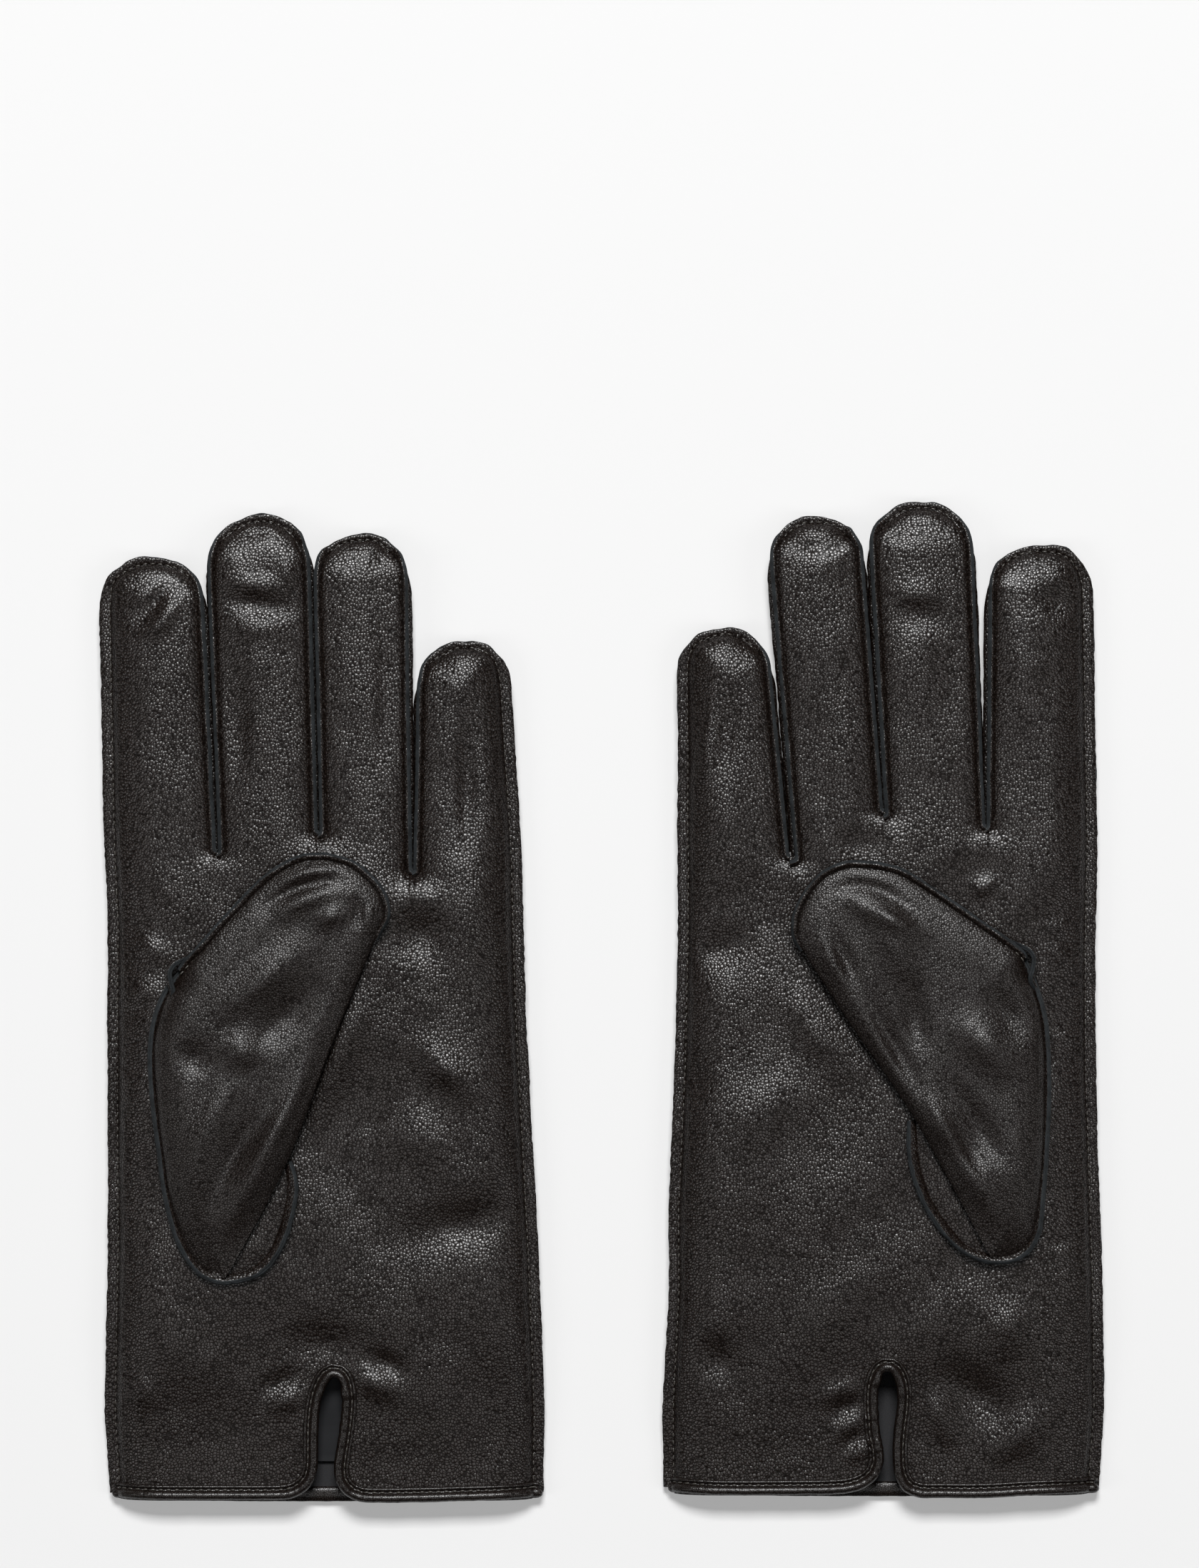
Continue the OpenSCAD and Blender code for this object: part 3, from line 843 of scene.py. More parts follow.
def palm_skins(glove):
    """Palm and back leather from the cuff to the finger roots; the palm is cut open at the vent."""
    for node, height in (("palm", glove.top), ("back", glove.back)):
        points, faces, count = [], [], 0
        for i in range(4):
            grid = column(glove, i, "palm", height)
            quads = np.array(grid_faces(*grid.shape[:2]))
            flat = grid.reshape(-1, 3)
            if node == "palm":
                middle = flat[quads].mean(1)
                low = middle[:, 1] < VENT_ZONE
                quads = quads[~cut_away(glove, middle, low, 1.6)]
            faces += (quads + count).tolist()
            points.append(flat)
            count += len(flat)
        if node == "back":
            faces = [f[::-1] for f in faces]
        name = f"{glove.side}_{node}"
        piece = new_piece(glove, name + "_leather", np.vstack(points), faces, ["leather"], "leather")
        weld(piece)
        thicken(piece, SKIN)
        sits_on(piece, f"{glove.side}_glove", name)


def cut_away(glove, spots, near, margin):
    """Which spots the vent's opening takes away, with a margin; only those that are near it are tried."""
    gone = np.zeros(len(spots), bool)
    x, y = spots[near, 0], spots[near, 1]
    gone[near] = inside(vent_area(glove), x, y) | (nearest(vent_edge(glove), x, y)[0] < margin)
    return gone


def inside(area, x, y):
    """Whether points lie inside a polygon."""
    x, y = np.ravel(x)[:, None], np.ravel(y)[:, None]
    x0, y0 = area[:, 0], area[:, 1]
    x1, y1 = np.roll(x0, -1), np.roll(y0, -1)
    across = (y0 > y) != (y1 > y)
    reach = x0 + (y - y0) * (x1 - x0) / np.where(y1 == y0, 1, y1 - y0)
    return (across & (x < reach)).sum(1) % 2 == 1


class GLOVES_OT_skins(bpy.types.Operator):
    """Make the palm and back leathers of both gloves"""
    bl_idname = "gloves.skins"
    bl_label = "Leather Skins"

    def execute(self, context):
        for glove in gloves():
            palm_skins(glove)
            finger_skins(glove)
        return {"FINISHED"}


# ---------------------------------------------------------------- outseams

CUT_FACES = (1, 2, 3, 4, 5)
SEAM_START = 1.6            # height up the glove at which the sewn edges leave the binding
BACK_LEVELS = (3.6, 1.9)    # heights of the back's edges, on the little finger's side and on the other
BACK_TILT = -8.0


def flange(rows, width, seed):
    """Section of a sewn edge: two leathers back to back, each cut by hand and a little uneven.

    Its points are (out from the stitches, towards the palm side); CUT_FACES lists its cut faces.
    """
    s = np.arange(rows) * PATH_STEP
    upper = width * (1 + 0.05 * wave(s, 1.3, seed) + 0.05 * wave(s, 11.0, seed + 1))
    lower = width * (1 + 0.06 * wave(s, 1.7, seed + 2) + 0.06 * wave(s, 15.0, seed + 3)) - 0.05
    crevice = np.minimum(upper, lower) - 0.14
    t = SKIN
    zero = np.zeros(rows)
    swell = 0.07 * wave(s, 1.9, seed + 4)
    loop = [(zero - 0.6, zero - t), (lower - 0.2, zero - t), (lower, zero - t + 0.2), (lower, zero - 0.06),
            (crevice, zero), (upper, zero + 0.06), (upper, zero + t - 0.2), (upper - 0.22, zero + t + swell),
            (upper * 0.55, zero + t + 0.12 + swell), (zero + 0.2, zero + t - 0.1),
            (zero - 0.6, zero + t - 0.45)]
    return np.stack([np.stack(pair, -1) for pair in loop], 1)


def sewn_edge(glove, name, line, tilt, width, seed, sharp=50):
    """A sewn edge along a 3-D line; tilt is its angle up from flat, in degrees, to the left of the line."""
    t = directions(line)
    flat = t[:, :2] / np.maximum(np.linalg.norm(t[:, :2], axis=1, keepdims=True), 1e-6)
    out = np.stack([-flat[:, 1], flat[:, 0], np.zeros(len(line))], 1)
    up = np.array([0, 0, 1.0])
    s = np.arange(len(line)) * PATH_STEP
    angle = np.radians(tilt + 3 * wave(s, 9.0, seed + 7))[:, None]
    across = np.cos(angle) * out + np.sin(angle) * up
    normal = -np.sin(angle) * out + np.cos(angle) * up
    section = flange(len(line), width, seed)
    points, faces = sweep(line, across, normal, section)
    columns = section.shape[1]
    which = [1 if k % columns in CUT_FACES else 0 for k in range(len(faces) - 2)] + [1, 1]
    return new_piece(glove, name, points, faces, ["leather", "raw_edge"], "leather", which, sharp)


def seam_pieces(glove, i, name, rows, base, tilt, width, seed):
    """Sewn edge along rows of finger i's seam, split where the finger piece begins."""
    finger = glove.fingers[i]
    low = rows[:, 1] < JOIN_Y
    starts = np.flatnonzero(np.diff(low.astype(int))) + 1
    for part in np.split(np.arange(len(rows)), starts):
        if len(part) < 4:
            continue
        take = np.clip(np.append(part, part[-1] + 1), 0, len(rows) - 1) if part[-1] + 1 < len(rows) else part
        line = np.column_stack([rows[take, :2], base[take]])
        place = "palm" if low[part[0]] else "finger"
        half = "_a" if part[0] == 0 else "_b"
        piece = sewn_edge(glove, f"{glove.side}_{finger.name}_{name}_{place}{half}", line, tilt[take],
                          width[take], seed)
        if place == "palm":
            sits_on(piece, f"{glove.side}_glove")
        else:
            bends_at_root(piece, finger)


def upper_outseam(glove, i, rows):
    """The sewn edge of a finger's palm side, and of the glove's side below it."""
    mix = rows[:, 2:]
    s = np.arange(len(rows)) * PATH_STEP
    base = glove.seam(mix, "base") - 2.0 * (1 - smooth(rows[:, 1], 0, CUFF_FADE)) * mix[:, 0]
    base = base + 0.25 * wave(s, 14, 60 + i)
    # The edges are cut least evenly round the tips
    lumpy = 1 + 0.22 * mix[:, 2] * wave(s, 2.6, 90 + i) + 0.12 * mix[:, 2] * wave(s, 6.1, 95 + i)
    seam_pieces(glove, i, "outseam", rows, base, glove.seam(mix, "tilt"), glove.seam(mix, "width") * lumpy,
                100 * (i + 1) + (glove.flip > 0) * 50)


def back_outseams(glove, i, rows):
    """The sewn edges of a finger's back, one along each gap beside it."""
    inner = rows[:, 3] + rows[:, 5] > 0.55
    starts = np.flatnonzero(np.diff(inner.astype(int))) + 1
    finger = glove.fingers[i]
    middle = finger.at(0, finger.length / 2)[0]
    for k, part in enumerate(np.split(np.arange(len(rows)), starts)):
        if inner[part[0]] and len(part) > 8:
            back = rows[part]
            # Each lies over the next finger's, so that the gap is closed from below
            level = BACK_LEVELS[0] if back[-1, 0] > middle else BACK_LEVELS[1]
            ends = smooth(back[:, 1].max() - back[:, 1], -1, 9)
            seam_pieces(glove, i, f"back_outseam_{k}", back, np.full(len(back), level),
                        np.full(len(back), BACK_TILT), 0.5 + 1.6 * ends, 700 + 10 * i + k)


class GLOVES_OT_outseams(bpy.types.Operator):
    """Make the raw sewn edges round the fingers and down the sides"""
    bl_idname = "gloves.outseams"
    bl_label = "Outseams"

    def execute(self, context):
        for glove in gloves():
            for i, path in enumerate(glove.paths):
                rows = path[path[:, 1] > SEAM_START]
                upper_outseam(glove, i, rows)
                back_outseams(glove, i, rows)
        return {"FINISHED"}


# ---------------------------------------------------------------- fourchettes

def fourchette(glove, i, end, rows):
    """The side strip of finger i along rows of its seam, bowed into the gap."""
    finger = glove.fingers[i]
    rows = rows[rows[:, 4] < 0.75][::2]
    t = directions(rows[:, :2])
    out = np.stack([-t[:, 1], t[:, 0]], 1)
    low, high = glove.seam(rows[:, 2:], "back") - 0.2, glove.seam(rows[:, 2:], "top") - 0.3
    k = np.linspace(0, 1, 8)
    z = low[:, None] + (high - low)[:, None] * k
    bow = 0.35 - 0.9 * np.sin(math.pi * k)[None] * (1 - rows[:, 5:6])
    xy = rows[:, None, :2] + out[:, None] * bow[..., None]
    grid = np.concatenate([xy, z[..., None]], -1)
    faces = [f[::-1] for f in grid_faces(*grid.shape[:2])]
    node = f"{glove.side}_{finger.name}_fourchette_{end}"
    piece = new_piece(glove, node + "_leather", grid.reshape(-1, 3), faces, ["leather"], "leather")
    thicken(piece, SKIN)
    bends_at_root(piece, finger, node)


class GLOVES_OT_fourchettes(bpy.types.Operator):
    """Make the side strips between the fingers"""
    bl_idname = "gloves.fourchettes"
    bl_label = "Fourchettes"

    def execute(self, context):
        for glove in gloves():
            for i, path in enumerate(glove.paths):
                peak = path[:, 1].argmax()
                if i != INDEX:
                    fourchette(glove, i, "in", path[:peak])
                if i != LITTLE:
                    fourchette(glove, i, "out", path[peak:])
        return {"FINISHED"}


# ---------------------------------------------------------------- linings

def sleeve(glove, name, top, back):
    """A closed knitted tube from a grid of its upper side and one of its lower side."""
    ring = np.concatenate([top, back[:, ::-1]], 1)
    rows, columns = ring.shape[:2]
    faces = grid_faces(rows, columns, around=True)
    return new_piece(glove, name, ring.reshape(-1, 3), faces, ["lining"], "lining")


LABEL_Y, LABEL_Z = 9.7, 3.1     # lower edge and height of the label, on the back lining


class GLOVES_OT_linings(bpy.types.Operator):
    """Make the knitted linings of the hand and the fingers, and the label"""
    bl_idname = "gloves.linings"
    bl_label = "Linings and Label"

    def execute(self, context):
        for glove in gloves():
            for i, finger in enumerate(glove.fingers):
                top = column(glove, i, "finger", glove.top, 14, inset=LINING_INSET, step=3)[:-1]
                back = column(glove, i, "finger", glove.back, 14, inset=LINING_INSET, step=3)[:-1]
                squeeze(top, back)
                node = f"{glove.side}_{finger.name}_lining"
                piece = sleeve(glove, node + "_knit", top, back)
                bends_at_root(piece, finger, node)
            self.hand(glove)
        self.label(gloves()[0])
        return {"FINISHED"}

    def hand(self, glove):
        """Lining of the hand, open at the cuff and at the vent."""
        y = np.linspace(1.2, JOIN_Y + 1, 110)
        left, right = bounds_at(glove, INDEX, y)[0], bounds_at(glove, LITTLE, y)[1]
        # Columns lie closer towards the sides
        k = np.linspace(0, 1, 90)
        share = 0.4 * (0.5 - 0.5 * np.cos(k * math.pi)) + 0.6 * k
        x = (left + LINING_INSET)[:, None] + (right - left - 2 * LINING_INSET)[:, None] * share
        y = np.repeat(y[:, None], x.shape[1], 1)
        sides = [np.stack([x, y, hand_height(glove, height, x, y)], -1) for height in (glove.top, glove.back)]
        squeeze(*sides)
        piece = sleeve(glove, f"{glove.side}_lining_knit", *sides)
        tool = bmesh.new()
        tool.from_mesh(piece.data)
        spots = np.array([glove.local(f.calc_center_median()) for f in tool.faces])
        upper = spots[:, 2] > LABEL_Z + 0.1
        near = (spots[:, 1] < VENT_ZONE) & upper & (np.abs(spots[:, 0]) < VENT_ZONE / 2)
        gone = cut_away(glove, spots, near, 1.8)
        bmesh.ops.delete(tool, geom=[f for f, out in zip(tool.faces, gone) if out], context="FACES")
        tool.to_mesh(piece.data)
        tool.free()
        thicken(piece, LINING_WALL)
        sits_on(piece, f"{glove.side}_glove", f"{glove.side}_lining")

    def label(self, glove):
        """A blank satin label sewn flat on the back lining, seen through the vent."""
        low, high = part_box("left_label")
        low, high = glove.local(low), glove.local(high)
        x = np.linspace(low[0], high[0], 31)
        y = np.linspace(LABEL_Y, LABEL_Y + high[1] - low[1], 28)
        gx, gy = np.meshgrid(x, y)
        fold = np.exp(-(gy - y[0]) ** 2 / 0.5) * 0.08
        gz = LABEL_Z + 0.12 * patch(gx, gy, 6, 71) + fold
        grid = np.stack([gx, gy, gz], -1)
        piece = new_piece(glove, "left_label_satin", grid.reshape(-1, 3), grid_faces(*grid.shape[:2]),
                          ["label"], "label")
        thicken(piece, high[2] - low[2])
        sits_on(piece, "left_glove", "left_label")


def squeeze(top, back):
    """Turns a leather's heights into its lining's, which lie inside it, with room between them."""
    top[..., 2] -= LINING_GAP
    back[..., 2] += LINING_GAP
    middle = (top[..., 2] + back[..., 2]) / 2
    pinched = top[..., 2] < back[..., 2] + 0.3
    top[..., 2] = np.where(pinched, middle + 0.15, top[..., 2])
    back[..., 2] = np.where(pinched, middle - 0.15, back[..., 2])


# ---------------------------------------------------------------- cuffs

# Edge of each vent's opening, from the cuff up one side, round the eye and down the other
VENTS = {
    "left": [(-14, 0.3), (-9, 0.7), (-5.4, 2.4), (-3.0, 5.2), (-2.0, 9), (-1.9, 14), (-1.8, 19), (-1.4, 23.5),
             (-0.5, 27.5), (0.9, 30.4), (2.2, 31.3), (3.3, 30.1), (3.9, 27), (3.8, 23), (3.1, 17), (2.3, 12),
             (1.9, 8), (2.6, 4.4), (5.2, 1.3), (9, -0.2), (14, -0.4)],
    "right": [(-14, -0.5), (-9, -0.4), (-5.2, 1.0), (-2.9, 4.0), (-2.0, 8), (-1.9, 13), (-2.3, 18),
              (-2.9, 23), (-2.9, 27), (-2.0, 30.3), (-0.6, 31.6), (0.7, 30.3), (1.5, 27), (1.6, 23),
              (1.2, 17), (0.4, 12), (0.2, 8.8), (1.6, 5), (4.6, 2.3), (9, 0.8), (14, 0.4)],
}


def vent_edge(glove):
    """The line of the vent's opening, in close points."""
    return curve_through(VENTS[glove.side], 0.35)


def vent_area(glove):
    """The vent's opening as a polygon, reaching below the cuff."""
    edge = vent_edge(glove)
    return np.vstack([edge, [edge[-1, 0], -5], [edge[0, 0], -5]])


def hand_height(glove, height, x, y):
    """Height of the palm or back leather anywhere over the hand."""
    z = np.zeros(np.shape(x))
    for i in range(4):
        low = glove.slits[i - 1][0] if i > 0 else -math.inf
        high = glove.slits[i][0] if i < 3 else math.inf
        here = (x >= low) & (x < high)
        z[here] = height(i, x[here], y[here])
    return z


CORNER_INSET = 2.3      # how far the binding's corners lie inside the cuff's sides
BAND_MIDDLE = 2.6       # where across the strip the leather's height and slope are read
SLOPE_STEP = 0.4


def cuff_line(glove):
    """The binding's edge right round the cuff and the vent, its inward and outward directions, and how
    many of its points lie on the palm side."""
    corner = glove.cuff_half - CORNER_INSET
    vent = VENTS[glove.side]
    palm = curve_through([(-corner, 0.5), (-40, 0.3), (-25, vent[0][1]), *vent, (25, vent[-1][1] * 0.6),
                          (40, 0.2), (corner, 0.6)], PATH_STEP)
    t = directions(palm)
    inward = np.stack([-t[:, 1], t[:, 0]], 1)
    mid = palm + inward * BAND_MIDDLE
    z = hand_height(glove, glove.top, mid[:, 0], mid[:, 1])
    beside = hand_height(glove, glove.top, mid[:, 0] + SLOPE_STEP, mid[:, 1])
    slope = (beside - z) / SLOPE_STEP
    normal = np.stack([-slope, np.zeros(len(slope)), np.ones(len(slope))], 1)
    normal /= np.linalg.norm(normal, axis=1, keepdims=True)
    top_line = np.column_stack([palm, z - 0.1])
    top_in = np.column_stack([inward, np.zeros(len(palm))])
    # Keep the strip level with the leather where the leather slopes to the side seam
    top_in -= normal * (top_in * normal).sum(1, keepdims=True)
    top_in /= np.linalg.norm(top_in, axis=1, keepdims=True)
    x = np.arange(corner, -corner, -PATH_STEP)
    back_z = 1.5 + 0.95 * smooth(np.abs(x), corner - 12, corner + 1)
    back_line = np.column_stack([x, -0.7 + 0.9 * (np.abs(x) / corner) ** 3, back_z])
    back_normal = np.tile([0, 0, -1.0], (len(x), 1))
    # The strip turns round the side seams from the palm side to the back and up again
    turns = []
    for sign, a, b in ((1, top_line[-1], back_line[0]), (-1, back_line[-1], top_line[0])):
        angles = np.radians(np.linspace(60 * sign, -60 * sign, 9))
        spot = a + (b - a) * np.linspace(0, 1, 9)[:, None]
        spot[:, 0] += sign * 0.7 * np.sin(np.linspace(0, math.pi, 9))
        turn = np.stack([sign * np.cos(angles), 0 * angles, np.sin(angles)], 1)
        turns.append((spot[1:-1], turn[1:-1]))
    up = np.array([0, 1.0, 0])
    line = np.vstack([top_line, turns[0][0], back_line, turns[1][0]])
    normals = np.vstack([normal, turns[0][1], back_normal, turns[1][1]])
    across = np.vstack([top_in, np.tile(up, (len(line) - len(top_in), 1))])
    return line, across, normals, len(top_line)


# Section of the folded binding: (in from the edge, out from the leather), for a strip 3.9 mm wide.
# A full roll on the edge, the groove where it is sewn, and the narrow ridge of its turned-in side.
BAND = [(0.3, -0.8), (1.6, -1.0), (3.0, -0.95), (3.85, -0.6), (3.92, 0.0), (3.86, 0.42), (3.66, 0.72),
        (3.4, 0.8), (3.16, 0.68), (2.98, 0.4), (2.78, 0.2), (2.55, 0.2), (2.34, 0.42), (2.1, 0.8),
        (1.7, 1.12), (1.2, 1.24), (0.7, 1.1), (0.3, 0.72), (0.06, 0.2), (0.04, -0.35)]
BAND_WIDTH = 3.9
BAND_STITCH = 2.68
HEM_PITCH = 2.0         # distance from stitch to stitch along the binding


class GLOVES_OT_cuffs(bpy.types.Operator):
    """Make the leather bindings of the cuffs and vents"""
    bl_idname = "gloves.cuffs"
    bl_label = "Cuff Bindings"

    def execute(self, context):
        for glove in gloves():
            line, across, normal, _ = cuff_line(glove)
            s = np.arange(len(line)) * PATH_STEP
            band = np.tile(np.array(BAND), (len(line), 1, 1))
            band[..., 0] *= size("binding") / BAND_WIDTH
            # The strip puckers where it is turned round the eye of the vent, and dips at every stitch
            eye = smooth(line[:, 1], 14, 27)
            pucker = 0.06 * wave(s, 2.6, 90) + (0.05 + 0.16 * eye) * wave(s, 1.2, 91)
            dip = 0.07 * np.cos(2 * math.pi * s / HEM_PITCH)
            outside = band[..., 1] > 0.15
            on_edge = band[..., 0] < 1.0
            band[..., 1] += np.where(outside, (pucker + dip)[:, None], 0)
            band[..., 0] += np.where(on_edge, -pucker[:, None] * 0.7, 0)
            points, faces = sweep(line, across, normal, band, closed=True)
            name = f"{glove.side}_cuff_binding"
            piece = new_piece(glove, name + "_leather", points, faces, ["binding"], "binding", sharp=70)
            sits_on(piece, f"{glove.side}_glove", name)
        return {"FINISHED"}


# ---------------------------------------------------------------- thumbs

# Lines of each thumb, in order up from the bottom of its hole.  "seam" is the edge sewn into the palm and,
# past the quirk, the sewn edge round the tip; "fold" is the folded edge that lies over the palm.
THUMBS = {
    "left": {
        "foot": (-25.7, 56.4), "quirk": (-36.2, 133.6), "apex": (0.0, 162.3),
        "hole": [(-31.3, 58.9), (-36.2, 66), (-39.6, 77), (-41.2, 88), (-43, 103), (-43.3, 117),
                 (-40.5, 127)],
        "ridge": [(-32.1, 138), (-24.1, 146.9), (-14.4, 156.8), (-6.5, 161.5)],
        "fold": [(-23.0, 60.4), (-9.6, 85.7), (2.4, 117.1), (13.2, 143.4)],
        "round": [(15.0, 148.6), (13.1, 154.2), (7.0, 160.0)],
        "pleat": [(-25.7, 56.4), (-16.9, 59.4), (-11.2, 68), (-8.8, 79.4), (-9.9, 85.8)],
    },
    "right": {
        "foot": (-27.0, 60.2), "quirk": (-34.4, 135.9), "apex": (5.0, 158.9),
        "hole": [(-33.4, 61.4), (-37.6, 66.7), (-39.2, 78.1), (-40.4, 98.1), (-40.0, 117.4), (-37.6, 128)],
        "ridge": [(-33.2, 137.2), (-19.2, 147), (-5.5, 156), (1.0, 158.3)],
        "fold": [(-25.0, 63.2), (-7.1, 95.7), (9.8, 120.6), (21, 138.3)],
        "round": [(22.3, 144.4), (20.2, 150.6), (15.6, 156.2), (10, 158.8)],
        "pleat": [(-27.0, 60.2), (-19.5, 63.7), (-11.9, 73.2), (-7.9, 83.7), (-7.0, 95.0)],
    },
}
# Height and reach of the thumb's edges: sewn into the hole, sewn round the tip, folded
THUMB_EDGES = np.array([[10.9, 9.0], [13.9, 8.5], [13.4, 6.0]])
THUMB_CROWN = 16.2          # height of the thumb's middle
THUMB_FOOT = 12.6           # the same at the foot of the hole
MIX_REACH = 13              # points over which one kind of edge runs into the next
RIB_SPAN = (38, -9)         # from the quirk to the point of the fold that lies opposite it
THUMB_BEND = (-2.0, 10.0)   # two distances past the thumb's crease

THUMB_FOLDS = {
    "left": [
        (0.75, 3.0, [(-26.5, 63), (-21.5, 74), (-14, 90), (-6, 104), (0, 117)]),
        (-0.55, 2.6, [(-31, 69), (-26.5, 81), (-20, 93), (-13, 103)]),
        (0.5, 3.2, [(-34, 76), (-31, 90), (-26, 101), (-19, 111)]),
        (0.28, 1.8, [(-18.5, 70), (-11, 87), (-1, 107), (6, 126), (10, 138)]),
        (-0.45, 2.4, [(-14, 85), (-6, 99), (2, 117), (6, 131)]),
        (0.7, 4.2, [(-31, 125), (-22, 127), (-12, 135), (-2, 144)]),
        (-0.6, 4.0, [(-26, 117), (-16, 118), (-7, 125), (2, 135)]),
        (0.6, 4.5, [(-25, 119), (-21, 115), (-18, 109)]),
        (-0.5, 4.0, [(-39, 112), (-33, 112), (-28, 108)]),
        (-0.5, 1.9, [(-18.5, 146.5), (-12, 152.5), (-3, 156.0), (4, 156.8), (8.5, 155)]),
        (0.32, 1.6, [(-15, 152.6), (-7, 158.0), (1, 159.6), (7, 158.6)]),
        (0.35, 2.6, [(-14, 146), (-6, 151.5), (1, 153.2), (5, 152)]),
        (-0.35, 1.6, [(7, 154), (8.3, 149.5), (8, 144)]),
        (0.25, 1.6, [(11.2, 151.5), (11.4, 147), (10.4, 142)]),
        (0.4, 2.2, [(-3, 146), (2, 148), (4.8, 151)]),
    ],
    "right": [
        (0.7, 2.8, [(-29, 68), (-21, 82), (-12, 97), (-4, 112)]),
        (-0.55, 2.6, [(-33, 76), (-27, 88), (-20, 99), (-13, 108)]),
        (0.28, 1.8, [(-17, 80), (-5, 103), (7, 123), (15, 136)]),
        (-0.5, 2.6, [(-14, 92), (-6, 107), (2, 121), (8, 131)]),
        (0.35, 2.2, [(17, 143), (13.5, 135), (9, 126)]),
        (-0.35, 2.0, [(14, 144), (10.5, 136), (6.5, 128)]),
        (0.65, 4.5, [(2, 152), (-2, 140), (-6, 128)]),
        (-0.6, 3.2, [(-6, 133), (-7, 122), (-9, 110)]),
        (-0.5, 5, [(-12, 93), (-20, 88), (-30, 84)]),
        (0.6, 4.5, [(-16, 122), (-25, 114), (-33, 104)]),
        (-0.6, 4, [(-24, 129), (-31, 122), (-37, 112)]),
        (0.55, 2.4, [(12, 152), (6, 149), (-3, 145), (-12, 140)]),
        (-0.4, 1.8, [(17, 151), (9, 154.3), (1, 153), (-9, 147)]),
        (0.4, 3.5, [(-31, 76), (-27, 86), (-23, 96)]),
    ],
}


